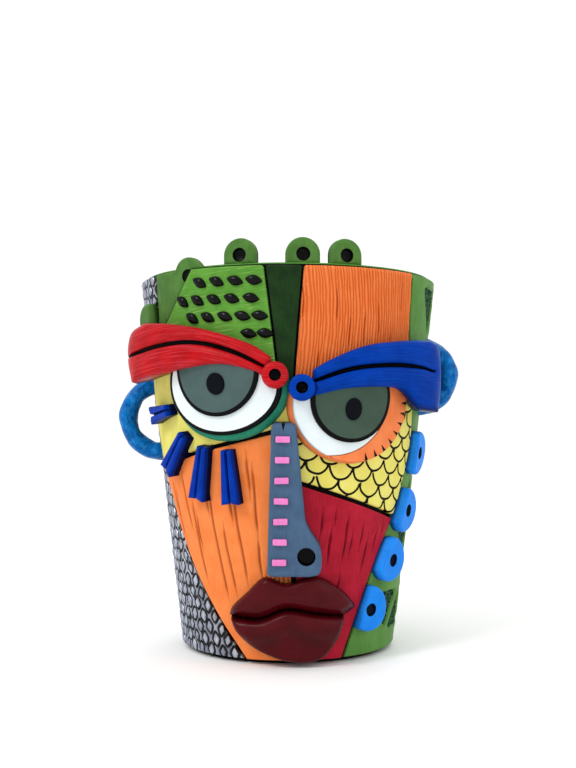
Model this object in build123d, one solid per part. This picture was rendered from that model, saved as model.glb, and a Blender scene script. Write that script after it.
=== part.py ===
from build123d import *
import math
import os

# Head planter: a tapered round pot whose front is dressed as a patchwork mask.
# The pot wall is a plain cone; every slab of the face is cut to its outline and seated on that cone.
# Millimetres. +Z is up, the origin is the middle of the foot ring, and the face looks along -Y.
# An azimuth is an angle round the pot from the face's middle, positive to the viewer's right.

# The pot: wall, foot and drain
pot_height = 178.5
rim_radius = 70.5
base_radius = 49.0
wall_thickness = 6.0
floor_thickness = 8.0
foot_recess_depth = 5.0
foot_ring_width = 9.0
foot_round = 1.6
rim_bevel = 1.6
drain_radius = 7.0

# Layers, measured outward from the pot wall
glue_gap = 0.15
wrap_thickness = 2.2
panel_thickness = 3.2
overrun = 30.0

# The patchwork mask, laid out as azimuths and as shares of the pot's height
seam_gap = 2.0
mask_foot_gap = 2.2
mask_left_edge_shares = ((-34, 1.01), (-48, 0.893), (-63, 0.80), (-73, 0.70), (-71.5, 0.545),
                         (-62.5, 0.405), (-52, 0.27), (-38, 0.14), (-19, 0.0))
mask_right_edge_shares = ((51, 1.01), (53, 0.84), (60, 0.70), (64, 0.56), (57, 0.405), (43.5, 0.253),
                          (26.5, 0.0))
mask_middle_reach = 8
mask_reach = 82
wedge_left_shares = ((-8, 1.01), (-2.2, 0.66))
wedge_right_shares = ((5, 1.01), (1.2, 0.66))
brow_line_left_shares = ((-80, 0.80), (4, 0.70))
brow_line_right_shares = ((-4, 0.68), (72, 0.72))
cheek_line_left_shares = ((-80, 0.475), (4, 0.60))
cheek_line_right_shares = ((-4, 0.475), (72, 0.33))
chin_line_shares = ((1.5, 0.70), (3, 0.0))
temple_backing_shares = ((-57, 1.01), (-59, 0.84), (-30, 0.84), (-30, 1.01))

# Raised seed-shaped beads on the green forehead, in rows that fan out
seed_length = 8.0
seed_width = 4.4
seed_thickness = 1.8
seed_shoulder_share = 0.35
seed_rows_shares = ((0.955, (-32.5, -25.5, -18.5, -11.8)), (0.912, (-41, -34, -27, -20, -13)),
                    (0.869, (-37, -30, -23, -16, -9.4)), (0.826, (-11.5, -5.6)))
seed_lean_share = 0.9

# Sunken triangles in the green side, point up and point down in turn, smaller where a full one has no room
cell_row_shares = (0.115, 0.275, 0.435, 0.595, 0.755, 0.905)
cell_last_azimuth = 166.5
cell_step = 15.5
cell_columns = 10
cell_inradius_share = 0.113
cell_lift_share = 0.018
cell_depth = 0.95
cell_margin = 2.6
cell_small_share = 0.6
cell_tab_room_share = 0.75
cell_ear_room = 8.0
cell_ear_reach_share = 0.6

# Eyes: a bevelled lid disc, a white plate, an iris and a pupil, stacked
eye_half_width = 27.5
eye_half_height = 25.5
lid_thickness = 3.6
lid_bevel = 2.0
lid_border = 1.8
white_thickness = 1.3
iris_radius = 19.5
iris_thickness = 1.2
pupil_half_width = 3.9
pupil_half_height = 4.9
pupil_thickness = 0.9
piece_clearance = 0.5
eye_left_azimuth = -24.5
eye_left_height_share = 0.700
iris_left_shift = (-3.0, 6.6)
eye_right_azimuth = 24.5
eye_right_height_share = 0.658
iris_right_shift = (-1.0, 1.6)
pupil_drop = 6.2
crescent_shift = (-7.0, 5.0)
crescent_inset = 1.0

# Brows: thick slabs with a long groove, each with a round button at the nose
brow_stand = 11.5
brow_sweep_share = 1.227
brow_back_share = 0.36
brow_bevel = 1.7
groove_width = 1.9
groove_depth = 2.4
brow_left_length = 69.0
brow_left_height_share = 0.1513
brow_left_inner = 6.0
brow_left_low_share = 0.711
brow_left_top_shares = ((0.02, 0.37), (0.16, 0.59), (0.45, 0.84), (0.70, 0.96), (0.87, 1.0))
brow_left_end_shares = ((0.87, 1.0), (0.975, 0.84), (1.0, 0.45), (0.965, 0.0))
brow_left_low_edge_shares = ((0.965, 0.0), (0.70, 0.15), (0.384, 0.263), (0.16, 0.16), (0.014, 0.0))
groove_left_shares = ((0.03, 0.17), (0.26, 0.455), (0.50, 0.62), (0.75, 0.60), (1.05, 0.42))
brow_right_length = 66.0
brow_right_height_share = 0.1849
brow_right_inner = 5.0
brow_right_low_share = 0.634
brow_right_top_shares = ((0.09, 0.555), (0.217, 0.70), (0.447, 0.885), (0.733, 0.975), (0.918, 0.994))
brow_right_end_shares = ((0.918, 0.994), (0.985, 0.88), (1.0, 0.45), (0.975, 0.0))
brow_right_low_edge_shares = ((0.975, 0.0), (0.80, 0.06), (0.70, 0.27), (0.60, 0.34), (0.33, 0.31),
                              (0.09, 0.20))
groove_right_shares = ((0.04, 0.36), (0.33, 0.56), (0.60, 0.63), (0.82, 0.62), (0.935, 0.57))
button_radius = 5.8
button_thickness = 11.0
button_dimple_radius = 2.4
button_dimple_depth = 2.5
button_bevel = 1.2
button_left_spot = (-5.6, 0.722)
button_right_spot = (6.0, 0.692)

# Lashes under the left eye, set round the eye's middle
lash_inner_width = 5.2
lash_outer_width = 8.6
lash_thickness = 5.5
lash_bevel = 1.4
lash_notch_width = 1.2
lash_notch_depth = 2.0
lash_table = ((-160, -172, 18.0), (-131, -134, 23.0), (-108, -103, 25.0), (-86, -88, 24.0))

# The nose slab with its nostril and a ladder of bars
nose_azimuth = -1.6
nose_low_share = 0.235
nose_bridge_gap = 8.2
nose_top_width = 10.5
nose_foot_width = 24.0
nose_thickness = 8.0
nose_round = 1.5
nose_corner = 2.5
nose_wing_shares = ((0.70, 0.36), (0.79, 0.29), (0.96, 0.19), (1.0, 0.09))
nose_left_share = 0.31
nostril_radius = 3.9
nostril_depth = 4.5
nostril_spot_shares = (0.72, 0.135)
bar_count = 7
bar_half_length = 3.1
bar_half_height = 1.35
bar_thickness = 1.6
bar_first_share = 0.10
bar_last_share = 0.90

# Lips: two crowned pads, cut to their outline and seated on the mask
lip_middle = 2.2
lip_half_width = 28.4
mouth_height_share = 0.129
mouth_gap = 0.8
lip_edge_stand = 3.6
lip_bevel = 1.6
upper_lip_height = 17.0
upper_lip_stand = 8.5
lower_lip_height = 20.0
lower_lip_stand = 11.0
upper_lip_top_shares = ((-1.0, 0.05), (-0.72, 0.54), (-0.44, 0.98), (-0.10, 0.82), (0.35, 1.0), (0.76, 0.62),
                        (1.0, 0.15))
upper_lip_low_shares = ((1.0, 0.15), (0.76, -0.06), (0.35, 0.02), (-0.10, 0.16), (-0.50, -0.03), (-1.0, 0.05))
lower_lip_top_shares = ((0.80, -0.05), (0.35, 0.02), (-0.10, 0.14), (-0.50, -0.03), (-0.97, 0.02))
lower_lip_low_shares = ((-0.97, 0.02), (-0.86, -0.34), (-0.56, -0.74), (-0.05, -1.0), (0.42, -0.97),
                        (0.68, -0.56), (0.80, -0.05))

# Ears: rings of clay whose inner side is cut to the wall
ear_left_radius = 16.4
ear_left_height_share = 0.622
ear_right_radius = 14.6
ear_right_height_share = 0.735
ear_band_half_width = 4.8
ear_band_half_depth = 7.0
ear_section_shares = ((1.0, -0.35), (1.0, 0.35), (0.45, 0.95), (-0.45, 0.95), (-1.0, 0.35), (-1.0, -0.35),
                      (-0.45, -0.95), (0.45, -0.95))
ear_left_azimuth = -84.0
ear_right_azimuth = 80.0

# Pierced-looking tabs on the rim and scallops beside the mask
tab_radius = 7.6
tab_rise = 3.8
tab_dimple_radius = 3.0
tab_dimple_depth = 2.6
rim_tab_azimuths = (-18.0, 5.5, 22.0)
scallop_radius = 10.5
scallop_thickness = 4.6
scallop_dimple_radius = 2.6
scallop_dimple_depth = 2.2
temple_tab_spot = (-62.0, 0.865)
backing_tab_spot = (-38.0, 0.975)
backing_tab_radius = 8.5
backing_thickness = 2.8
jaw_tab_spots = ((69.0, 0.53), (62.0, 0.38), (52.5, 0.255), (40.0, 0.135))

# Drain plug, pushed in from below
plug_clearance = 0.08
plug_head_radius = 10.5
plug_head_thickness = 2.0
plug_seat_gap = 0.2
plug_stem_rise = 1.5
plug_tip_round = 1.0
plug_grip_radius = 4.0
plug_grip_depth = 1.1

# Where each layer starts and ends, outward from the pot wall, and what follows from the sizes above
wrap_front = glue_gap + wrap_thickness
panel_front = glue_gap + panel_thickness
on_panel = panel_front + glue_gap
lid_front = on_panel + lid_thickness
white_front = lid_front + glue_gap + white_thickness
iris_front = white_front + glue_gap + iris_thickness
pupil_front = iris_front + glue_gap + pupil_thickness
wall_lean = math.degrees(math.atan((rim_radius - base_radius) / pot_height))
nose_height = (button_right_spot[1] - nose_low_share) * pot_height - button_radius - nose_bridge_gap
brow_left_height = brow_left_height_share * pot_height
brow_right_height = brow_right_height_share * pot_height
brow_sweep_radius = brow_sweep_share * (brow_left_inner + brow_left_length)
eye_left_height = eye_left_height_share * pot_height
eye_right_height = eye_right_height_share * pot_height


def wall_radius(height):
    """Outer radius of the bare pot wall at a height."""
    return base_radius + (rim_radius - base_radius) * height / pot_height


def layer(back, front, low=0.0, high=pot_height):
    """A conical skin between two distances outward from the wall."""
    profile = Polyline(
        (wall_radius(low) + back, 0, low),
        (wall_radius(low) + front, 0, low),
        (wall_radius(high) + front, 0, high),
        (wall_radius(high) + back, 0, high),
        close=True,
    )
    return revolve(make_face(profile), axis=Axis.Z)


def solid_cone(front, low, high):
    """Everything inside a distance outward from the wall, between two heights."""
    profile = Polyline(
        (0, 0, low), (wall_radius(low) + front, 0, low), (wall_radius(high) + front, 0, high), (0, 0, high),
        close=True,
    )
    return revolve(make_face(profile), axis=Axis.Z)


def facing(azimuth, distance=0.0):
    """An upright plane that looks outward at an azimuth; its x runs to the viewer's right and its y up."""
    turn = math.radians(azimuth)
    outward = Vector(math.sin(turn), -math.cos(turn), 0)
    return Plane(origin=outward * distance, x_dir=(math.cos(turn), math.sin(turn), 0), z_dir=outward)


def outward_block(face, azimuth):
    """A flat outline, drawn in the plane that faces the azimuth, carried outward past every layer."""
    return extrude(facing(azimuth) * face, amount=rim_radius + overrun)


def seated(face, azimuth, back, front):
    """A slab of that outline that lies on the cone between two layers."""
    return outward_block(face, azimuth) & layer(back, front, -overrun, pot_height + overrun)


def radial_block(edges):
    """A block whose walls all point at the pot's axis, from edges of (azimuth, height) points."""
    azimuths = [point[0] for edge in edges for point in edge]
    middle = (min(azimuths) + max(azimuths)) / 2
    sections = []
    for distance in (base_radius / 2, rim_radius + overrun):
        plane = facing(middle, distance)
        curves = []
        for edge in edges:
            places = [
                plane.from_local_coords((distance * math.tan(math.radians(azimuth - middle)), height))
                for azimuth, height in edge
            ]
            curves.append(Line(*places) if len(places) == 2 else Spline(*places))
        sections.append(make_face(curves))
    return loft(sections, ruled=True)


def at_heights(shares):
    """Azimuths with their heights as lengths."""
    return [(azimuth, share * pot_height) for azimuth, share in shares]


def mask_side(edge_shares, side, growth):
    """The mask's left (-1) or right (+1) half as a block, grown past its edge by a length."""
    edge = [
        (azimuth + side * math.degrees(growth / wall_radius(height)), height)
        for azimuth, height in at_heights(edge_shares)
    ]
    past_middle = -side * mask_middle_reach
    top, bottom = edge[0], edge[-1]
    return radial_block(
        [edge, [bottom, (past_middle, bottom[1])], [(past_middle, bottom[1]), (past_middle, top[1])],
         [(past_middle, top[1]), top]]
    )


def shifted(line_shares, sideways=0.0, up=0.0):
    """A seam line moved half a seam to one side, as (azimuth, height) points."""
    return [
        (azimuth + sideways * math.degrees(seam_gap / 2 / wall_radius(height)), height + up * seam_gap / 2)
        for azimuth, height in at_heights(line_shares)
    ]


def region(corners):
    """A block from straight edges between (azimuth, height) corners."""
    return radial_block([[corners[i], corners[(i + 1) % len(corners)]] for i in range(len(corners))])


def only_largest(shape):
    """The largest solid of a cut, without the crumbs."""
    return max(shape.solids(), key=lambda solid: solid.volume)


def save(name, shape):
    """Writes one piece, or one group of like pieces."""
    solids = list(shape.solids())
    export_step(solids[0] if len(solids) == 1 else Compound(children=solids), f"parts/{name}.step")


def pot_core():
    """The cast pot: tapered wall, floor, foot ring and drain hole."""
    inner_base = wall_radius(foot_recess_depth + floor_thickness) - wall_thickness
    body = solid_cone(0, 0, pot_height)
    inside = Polyline(
        (0, 0, foot_recess_depth + floor_thickness),
        (inner_base, 0, foot_recess_depth + floor_thickness),
        (rim_radius - wall_thickness, 0, pot_height),
        (0, 0, pot_height),
        close=True,
    )
    body -= revolve(make_face(inside), axis=Axis.Z)
    recess = extrude(Circle(base_radius - foot_ring_width), amount=foot_recess_depth)
    drain = extrude(Circle(drain_radius), amount=foot_recess_depth + floor_thickness)
    body = body - recess - drain
    rim_edges = body.edges().filter_by(GeomType.CIRCLE).group_by(Axis.Z)[-1]
    body = chamfer(rim_edges, rim_bevel)
    foot_edges = body.edges().filter_by(GeomType.CIRCLE).group_by(Axis.Z)[0]
    return chamfer(foot_edges.sort_by(SortBy.RADIUS)[-1], foot_round)


def edge_azimuth(edge_shares, height):
    """The azimuth of the mask's edge at a height."""
    edge = at_heights(edge_shares)
    for (high_azimuth, high), (low_azimuth, low) in zip(edge, edge[1:]):
        if low <= height <= high:
            return low_azimuth + (high_azimuth - low_azimuth) * (height - low) / (high - low)
    return edge[0][0]


def cell_corners(azimuth, height, points_up, size_share):
    """The corners of one sunken triangle, as (azimuth, height) points."""
    radius = wall_radius(height)
    side = 1 if points_up else -1
    inradius = size_share * cell_inradius_share * radius
    middle = height - side * cell_lift_share * pot_height
    turn = math.degrees(math.sqrt(3) * inradius / radius)
    low = middle - side * inradius
    return [(azimuth - turn, low), (azimuth + turn, low), (azimuth, middle + 2 * side * inradius)]


def has_room(corners, edge_shares, keep_outs):
    """Whether a triangle is clear of the mask, the back seam, the skin's ends and the pieces set on it."""
    for azimuth, height in corners:
        radius = wall_radius(height)
        margin = math.degrees((cell_margin + seam_gap) / radius)
        if azimuth < edge_azimuth(edge_shares, height) + margin or azimuth > 180 - margin:
            return False
        if not mask_foot_gap + cell_margin < height < pot_height - rim_bevel - cell_margin:
            return False
    middle = sum(corner[0] for corner in corners) / 3, sum(corner[1] for corner in corners) / 3
    reach = abs(corners[2][1] - middle[1])
    for azimuth, height, room in keep_outs:
        across = math.radians(azimuth - middle[0]) * wall_radius(height)
        if math.hypot(across, height - middle[1]) < room + cell_ear_reach_share * reach:
            return False
    return True


def cell_cuts(edge_shares):
    """The sunken triangles of the green side, as blocks that end above the skin's floor."""
    ear_height = ear_right_height_share * pot_height
    keep_outs = [
        (ear_right_azimuth, ear_height + side * ear_right_radius, cell_ear_room) for side in (-1, 1)
    ]
    tab_room = cell_tab_room_share * scallop_radius
    keep_outs += [(azimuth, share * pot_height, tab_room) for azimuth, share in jaw_tab_spots]
    floor = solid_cone(wrap_front - cell_depth, -overrun, pot_height + overrun)
    cuts = []
    for row, share in enumerate(cell_row_shares):
        for column in range(cell_columns):
            azimuth = cell_last_azimuth - cell_step * column
            for size_share in (1, cell_small_share):
                corners = cell_corners(azimuth, share * pot_height, (row + column) % 2 == 0, size_share)
                if has_room(corners, edge_shares, keep_outs):
                    cuts.append(region(corners) - floor)
                    break
    return cuts


def side_wrap(side, edge_shares):
    """One half of the patterned skin, from the mask's edge round to the seam at the back."""
    skin = layer(glue_gap, wrap_front, mask_foot_gap, pot_height - rim_bevel)
    back_gap = seam_gap / 2
    half = Location((side * (rim_radius + overrun + back_gap), 0, pot_height / 2)) * Box(
        2 * (rim_radius + overrun), 2 * (rim_radius + overrun), pot_height + overrun
    )
    skin = (skin & half) - mask_side(edge_shares, side, seam_gap)
    if side < 0:
        return only_largest(skin - temple_corner(seam_gap))
    for cut in cell_cuts(edge_shares):
        skin -= cut
    return only_largest(skin)


def upright_side(line, side):
    """The block to the left (-1) or right (+1) of a seam that runs up the mask."""
    far = side * mask_reach
    return region([line[0], line[1], (far, line[1][1]), (far, line[0][1])])


def level_side(line, up):
    """The block over (+1) or under (-1) a seam that runs across the mask."""
    far = pot_height + overrun if up > 0 else -overrun
    return region([line[0], line[1], (line[1][0], far), (line[0][0], far)])


def mask_panels():
    """The flat slabs of the mask, cut apart along its seams."""
    skin = layer(glue_gap, panel_front, mask_foot_gap, pot_height - rim_bevel)
    left = skin & mask_side(mask_left_edge_shares, -1, 0.0)
    right = skin & mask_side(mask_right_edge_shares, 1, 0.0)
    panels = {}
    for name, half, side, brow_line, cheek_line, wedge_line in (
        ("left", left, -1, brow_line_left_shares, cheek_line_left_shares, wedge_left_shares),
        ("right", right, 1, brow_line_right_shares, cheek_line_right_shares, wedge_right_shares),
    ):
        chin_side = upright_side(shifted(chin_line_shares, side), side)
        forehead = half & level_side(shifted(brow_line, 0, 1), 1)
        panels[f"forehead_panel_{name}"] = forehead & upright_side(shifted(wedge_line, side), side)
        temple = half & chin_side & level_side(shifted(brow_line, 0, -1), -1)
        panels[f"temple_panel_{name}"] = temple & level_side(shifted(cheek_line, 0, 1), 1)
        panels[f"cheek_panel_{name}"] = half & chin_side & level_side(shifted(cheek_line, 0, -1), -1)
    wedge = skin & region(at_heights(wedge_left_shares) + at_heights(wedge_right_shares)[::-1])
    for brow_line in (brow_line_left_shares, brow_line_right_shares):
        wedge &= level_side(shifted(brow_line, 0, 1), 1)
    panels["forehead_wedge"] = wedge
    return {name: only_largest(panel) for name, panel in panels.items()}


def temple_corner(growth):
    """The block that the temple's backing fills, grown past its left side and foot."""
    turn = math.degrees(growth / rim_radius)
    top_left, low_left, low_right, top_right = at_heights(temple_backing_shares)
    return region(
        [(top_left[0] - turn, top_left[1]), (low_left[0] - turn, low_left[1] - growth),
         (low_right[0], low_right[1] - growth), top_right]
    )


def temple_backing():
    """The lower green slab, with its own tab, that shows past the forehead's rounded corner."""
    back_front = (glue_gap, glue_gap + backing_thickness)
    azimuth, share = backing_tab_spot
    tab_middle = Pos(0, share * pot_height)
    room = mask_side(mask_left_edge_shares, -1, glue_gap)
    slab = (layer(*back_front, mask_foot_gap, pot_height - rim_bevel) & temple_corner(0)) - room
    tab = seated(tab_middle * Circle(backing_tab_radius), azimuth, *back_front) - room
    dimple = seated(tab_middle * Circle(tab_dimple_radius), azimuth, backing_thickness / 2, overrun)
    return only_largest((slab + tab) - dimple)


def seeds():
    """Rows of pointed oval beads that fan across the green forehead."""
    tip, shoulder, half = seed_length / 2, seed_shoulder_share * seed_length / 2, seed_width / 2
    over = ((tip, 0), (shoulder, half), (-shoulder, half), (-tip, 0))
    under = ((-shoulder, -half), (shoulder, -half))
    outline = make_face(Polyline(*over, *under, close=True))
    beads = []
    for height_share, azimuths in seed_rows_shares:
        for azimuth in azimuths:
            height = height_share * pot_height
            seat = facing(azimuth, wall_radius(height) + on_panel) * Pos(0, height) * Rot(wall_lean, 0, 0)
            bead = extrude(seat * Rot(0, 0, seed_lean_share * azimuth) * outline, amount=seed_thickness)
            beads.append(bead)
    return Compound(children=beads)


def brow_curves(x_side, inner, length, height, low, shares):
    """One edge of a brow as a spline in the front view."""
    return Spline(*[(x_side * (inner + across * length), low + up * height) for across, up in shares])


def brow_outline(x_side, inner, length, height, low, top, end, bottom):
    """A brow's outline in the front view."""
    upper = brow_curves(x_side, inner, length, height, low, top)
    outer = brow_curves(x_side, inner, length, height, low, end)
    lower = brow_curves(x_side, inner, length, height, low, bottom)
    return make_face([upper, outer, lower, Line(lower @ 1, upper @ 0)])


def brow(x_side, outline, groove_shares, inner, length, height, low, button_room):
    """A thick slab with a swept front, a long groove and room for its button."""
    wall = wall_radius(low + height / 2)
    front = brow_sweep_radius - wall - brow_stand
    sweep = Pos(0, front, 0) * extrude(Circle(brow_sweep_radius), amount=pot_height + overrun)
    reach = rim_radius + overrun
    back = Pos(0, -brow_back_share * wall - reach, pot_height / 2) * Box(
        2 * reach, 2 * reach, pot_height + reach
    )
    body = outward_block(outline, 0) & sweep & back
    body = only_largest(body - solid_cone(on_panel, -overrun, pot_height + overrun))
    front_face = max(
        (face for face in body.faces() if face.geom_type == GeomType.CYLINDER),
        key=lambda face: face.area,
    )
    body = chamfer(front_face.edges(), brow_bevel)
    line = Spline(*[(x_side * (inner + across * length), low + up * height) for across, up in groove_shares])
    upper, lower = (Pos(0, side * groove_width / 2) * line for side in (1, -1))
    strip = make_face([upper, lower, Line(upper @ 0, lower @ 0), Line(upper @ 1, lower @ 1)])
    deep = Pos(0, front, 0) * extrude(Circle(brow_sweep_radius - groove_depth), amount=pot_height + overrun)
    return only_largest(body - (outward_block(strip, 0) - deep) - button_room)


def button(spot, radius, reach):
    """A round boss at the nose end of a brow, as a plain cylinder that looks forward."""
    across, share = spot
    plane = facing(0, wall_radius(share * pot_height) + on_panel - overrun)
    return plane * Pos(across, share * pot_height) * extrude(Circle(radius), amount=reach + overrun)


def finished_button(spot):
    """The boss with its rounded front and black dimple, seated on the mask."""
    boss = button(spot, button_radius, button_thickness)
    boss = chamfer(boss.edges().sort_by(Axis.Y)[0], button_bevel)
    across, share = spot
    front = facing(0, wall_radius(share * pot_height) + on_panel + button_thickness)
    dimple = front * Pos(across, share * pot_height, -button_dimple_depth) * extrude(
        Circle(button_dimple_radius), amount=overrun
    )
    return only_largest(boss - dimple - solid_cone(on_panel, -overrun, pot_height + overrun))


def eye(azimuth, height, iris_shift, keep_out):
    """The stacked plates of one eye, cut clear of the brow, button and nose."""
    across, up = iris_shift
    middle = Pos(0, height)
    wide = facing(azimuth, wall_radius(height) + on_panel - lid_thickness) * middle * Ellipse(
        eye_half_width + lid_bevel, eye_half_height + lid_bevel
    )
    narrow = facing(azimuth, wall_radius(height) + lid_front + lid_thickness) * middle * Ellipse(
        eye_half_width - lid_bevel, eye_half_height - lid_bevel
    )
    lid = loft([wide, narrow], ruled=True) & layer(on_panel, lid_front, 0.0, pot_height)
    plate_width = eye_half_width - lid_border
    plate_height = eye_half_height - lid_border
    white = seated(middle * Ellipse(plate_width, plate_height), azimuth, lid_front + glue_gap, white_front)
    iris_spot = Pos(across, height + up)
    inside_white = middle * Ellipse(plate_width - glue_gap, plate_height - glue_gap)
    iris_face = (iris_spot * Circle(iris_radius)) & inside_white
    iris = seated(iris_face, azimuth, white_front + glue_gap, iris_front)
    pupil_face = iris_spot * Pos(0, -pupil_drop) * Ellipse(pupil_half_width, pupil_half_height)
    pupil = seated(pupil_face, azimuth, iris_front + glue_gap, pupil_front)
    return [only_largest(piece - keep_out) for piece in (lid, white, iris, pupil)]


def crescent_split(white, azimuth, height):
    """The right eye's white plate, parted into the white and a crescent on the outer side."""
    across, up = crescent_shift
    half_width = eye_half_width - lid_border - crescent_inset
    half_height = eye_half_height - lid_border - crescent_inset
    gap = glue_gap + glue_gap
    spot = Pos(across, height + up)
    white_side = white & outward_block(spot * Ellipse(half_width, half_height), azimuth)
    cut = outward_block(spot * Ellipse(half_width + gap, half_height + gap), azimuth)
    return only_largest(white_side), only_largest(white - cut)


def lash(place, direction, length):
    """A tapered, notched bar that starts at the left eye's rim and points away from it."""
    at_rim, along = math.radians(place), math.radians(direction)
    rim = 1 / math.hypot(math.cos(at_rim) / eye_half_width, math.sin(at_rim) / eye_half_height)
    rim += lid_bevel + piece_clearance
    across = rim * math.cos(at_rim) + length / 2 * math.cos(along)
    height = eye_left_height + rim * math.sin(at_rim) + length / 2 * math.sin(along)
    azimuth = eye_left_azimuth + math.degrees(across / wall_radius(height))
    wall_front = facing(azimuth, wall_radius(height) + on_panel) * Pos(0, height) * Rot(wall_lean, 0, 0)
    half = length / 2
    outline = make_face(
        Polyline(
            (-half, -lash_inner_width / 2),
            (half, -lash_outer_width / 2),
            (half, lash_outer_width / 2),
            (-half, lash_inner_width / 2),
            close=True,
        )
    )
    bar = Pos(0, 0, -lash_thickness) * extrude(outline, amount=2 * lash_thickness)
    bar = chamfer(bar.edges().group_by(Axis.Z)[-1], lash_bevel)
    bar -= Pos(0, 0, lash_thickness) * Box(length + overrun, lash_notch_width, 2 * lash_notch_depth)
    placed = wall_front * Rot(0, 0, direction) * bar
    return only_largest(placed - solid_cone(on_panel, -overrun, pot_height + overrun))


def nose_face():
    """The nose's outline: a narrow bridge that swells to a nostril wing on one side."""
    low = nose_low_share * pot_height
    left = -nose_left_share * nose_foot_width
    top_left = -nose_top_width / 2
    wing = [(left + across * nose_foot_width, low + up * nose_height) for across, up in nose_wing_shares]
    foot_right = left + nose_foot_width - nose_corner
    bridge = Polyline(
        (foot_right, low), (left + nose_corner, low), (left, low + nose_corner),
        (top_left, low + nose_height), (top_left + nose_top_width, low + nose_height), wing[0],
    )
    curve = Spline(*wing)
    closing = Line(curve @ 1, bridge @ 0)
    return make_face([bridge, curve, closing])


def nose_seat():
    """The plane of the nose's back, which leans with the wall and touches the mask along the bridge."""
    low = nose_low_share * pot_height
    upright = facing(nose_azimuth, wall_radius(low) + on_panel)
    return upright * Pos(0, low) * Rot(wall_lean, 0, 0) * Pos(0, -low)


def nose():
    """The nose slab with its flat front, rounded front edges and the nostril."""
    slab = Pos(0, 0, -nose_thickness) * extrude(nose_face(), amount=2 * nose_thickness)
    slab = fillet(slab.faces().sort_by(Axis.Z)[-1].edges(), nose_round)
    left = -nose_left_share * nose_foot_width
    across, up = nostril_spot_shares
    spot = Pos(left + across * nose_foot_width, nose_low_share * pot_height + up * nose_height)
    hole = Pos(0, 0, nose_thickness - nostril_depth) * extrude(spot * Circle(nostril_radius), amount=overrun)
    return only_largest(nose_seat() * (slab - hole) - solid_cone(on_panel, -overrun, pot_height + overrun))


def nose_bars():
    """A ladder of small bars up the bridge."""
    low = nose_low_share * pot_height
    bars = []
    for index in range(bar_count):
        share = bar_first_share + (bar_last_share - bar_first_share) * index / (bar_count - 1)
        left_edge = -nose_left_share * nose_foot_width * (1 - share) - nose_top_width / 2 * share
        middle = left_edge + nose_top_width / 2
        spot = Pos(middle, low + share * nose_height, nose_thickness + glue_gap)
        bar = extrude(spot * Rectangle(2 * bar_half_length, 2 * bar_half_height), amount=bar_thickness)
        bars.append(nose_seat() * bar)
    return Compound(children=bars)


def lip(top_shares, low_shares, height, shift, stand):
    """One lip: its outline carried outward, under a ring-shaped crown."""
    mouth = mouth_height_share * pot_height + shift

    def edge(shares):
        return Spline(*[(lip_middle + across * lip_half_width, mouth + up * height) for across, up in shares])

    outline = make_face([edge(top_shares), edge(low_shares)])
    bounds = outline.bounding_box()
    low, high = bounds.min.Y - lip_edge_stand, bounds.max.Y + lip_edge_stand
    middle = (low + high) / 2
    outside_low = wall_radius(low) + on_panel + lip_edge_stand
    outside_high = wall_radius(high) + on_panel + lip_edge_stand
    crown = ThreePointArc(
        (outside_low, 0, low), (wall_radius(middle) + on_panel + stand, 0, middle), (outside_high, 0, high)
    )
    back = Polyline((outside_high, 0, high), (0, 0, high), (0, 0, low), (outside_low, 0, low))
    body = outward_block(outline, 0) & revolve(make_face([crown, back]), axis=Axis.Z)
    body = only_largest(body - solid_cone(on_panel, -overrun, pot_height + overrun))
    stand_off = on_panel + lip_edge_stand
    front = max(body.faces(), key=lambda face: face.area if is_proud(face, stand_off) else 0.0)
    return chamfer(front.edges(), lip_bevel)


def is_proud(face, stand):
    """Whether the middle of a face lies further from the wall than a distance."""
    middle = face.position_at(0.5, 0.5)
    return math.hypot(middle.X, middle.Y) - wall_radius(middle.Z) > stand


def ear(azimuth, height, ring_radius):
    """A ring that stands out of the side and is cut where it meets the skin."""
    turn = math.radians(azimuth)
    outward = Vector(math.sin(turn), -math.cos(turn), 0)
    tangent = Vector(math.cos(turn), math.sin(turn), 0)
    corners = [
        (ring_radius + across * ear_band_half_width, up * ear_band_half_depth)
        for across, up in ear_section_shares
    ]
    profile = Plane.XZ * make_face(Polyline(*corners, close=True))
    ring = revolve(profile, axis=Axis.Z)
    middle = outward * wall_radius(height) + Vector(0, 0, height)
    ring = Plane(origin=middle, x_dir=outward, z_dir=tangent) * ring
    return only_largest(ring - solid_cone(wrap_front + glue_gap, -overrun, pot_height + overrun))


def rim_tab(azimuth):
    """A round-topped tab that stands on the rim, with a blind dimple."""
    face = Pos(0, pot_height + tab_rise) * Circle(tab_radius)
    face += Pos(0, pot_height + tab_rise / 2) * Rectangle(2 * tab_radius, tab_rise)
    bulge = rim_radius - math.sqrt(rim_radius**2 - tab_radius**2)
    inner = rim_radius - wall_thickness + rim_bevel / 2 + bulge
    thickness = rim_radius - rim_bevel / 2 - inner
    body = extrude(facing(azimuth, inner) * face, amount=thickness)
    below = extrude(Circle(rim_radius + overrun), amount=pot_height + glue_gap)
    dimple_face = Pos(0, pot_height + tab_rise) * Circle(tab_dimple_radius)
    dimple = extrude(facing(azimuth, inner + thickness - tab_dimple_depth) * dimple_face, amount=overrun)
    return only_largest(body - below - dimple)


def scallop(spot, rooms):
    """A round tab beside the mask, on the skin, with a blind dimple."""
    azimuth, share = spot
    height = share * pot_height
    upright = facing(azimuth, wall_radius(height) + wrap_front + glue_gap)
    seat = upright * Pos(0, height) * Rot(wall_lean, 0, 0)
    disc = extrude(Circle(scallop_radius), amount=2 * scallop_thickness)
    body = seat * Pos(0, 0, -scallop_thickness) * disc
    dimple_low = scallop_thickness - scallop_dimple_depth
    body -= seat * Pos(0, 0, dimple_low) * extrude(Circle(scallop_dimple_radius), amount=overrun)
    body -= solid_cone(wrap_front + glue_gap, -overrun, pot_height + overrun)
    for room in rooms:
        body -= room
    return only_largest(body)


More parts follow.
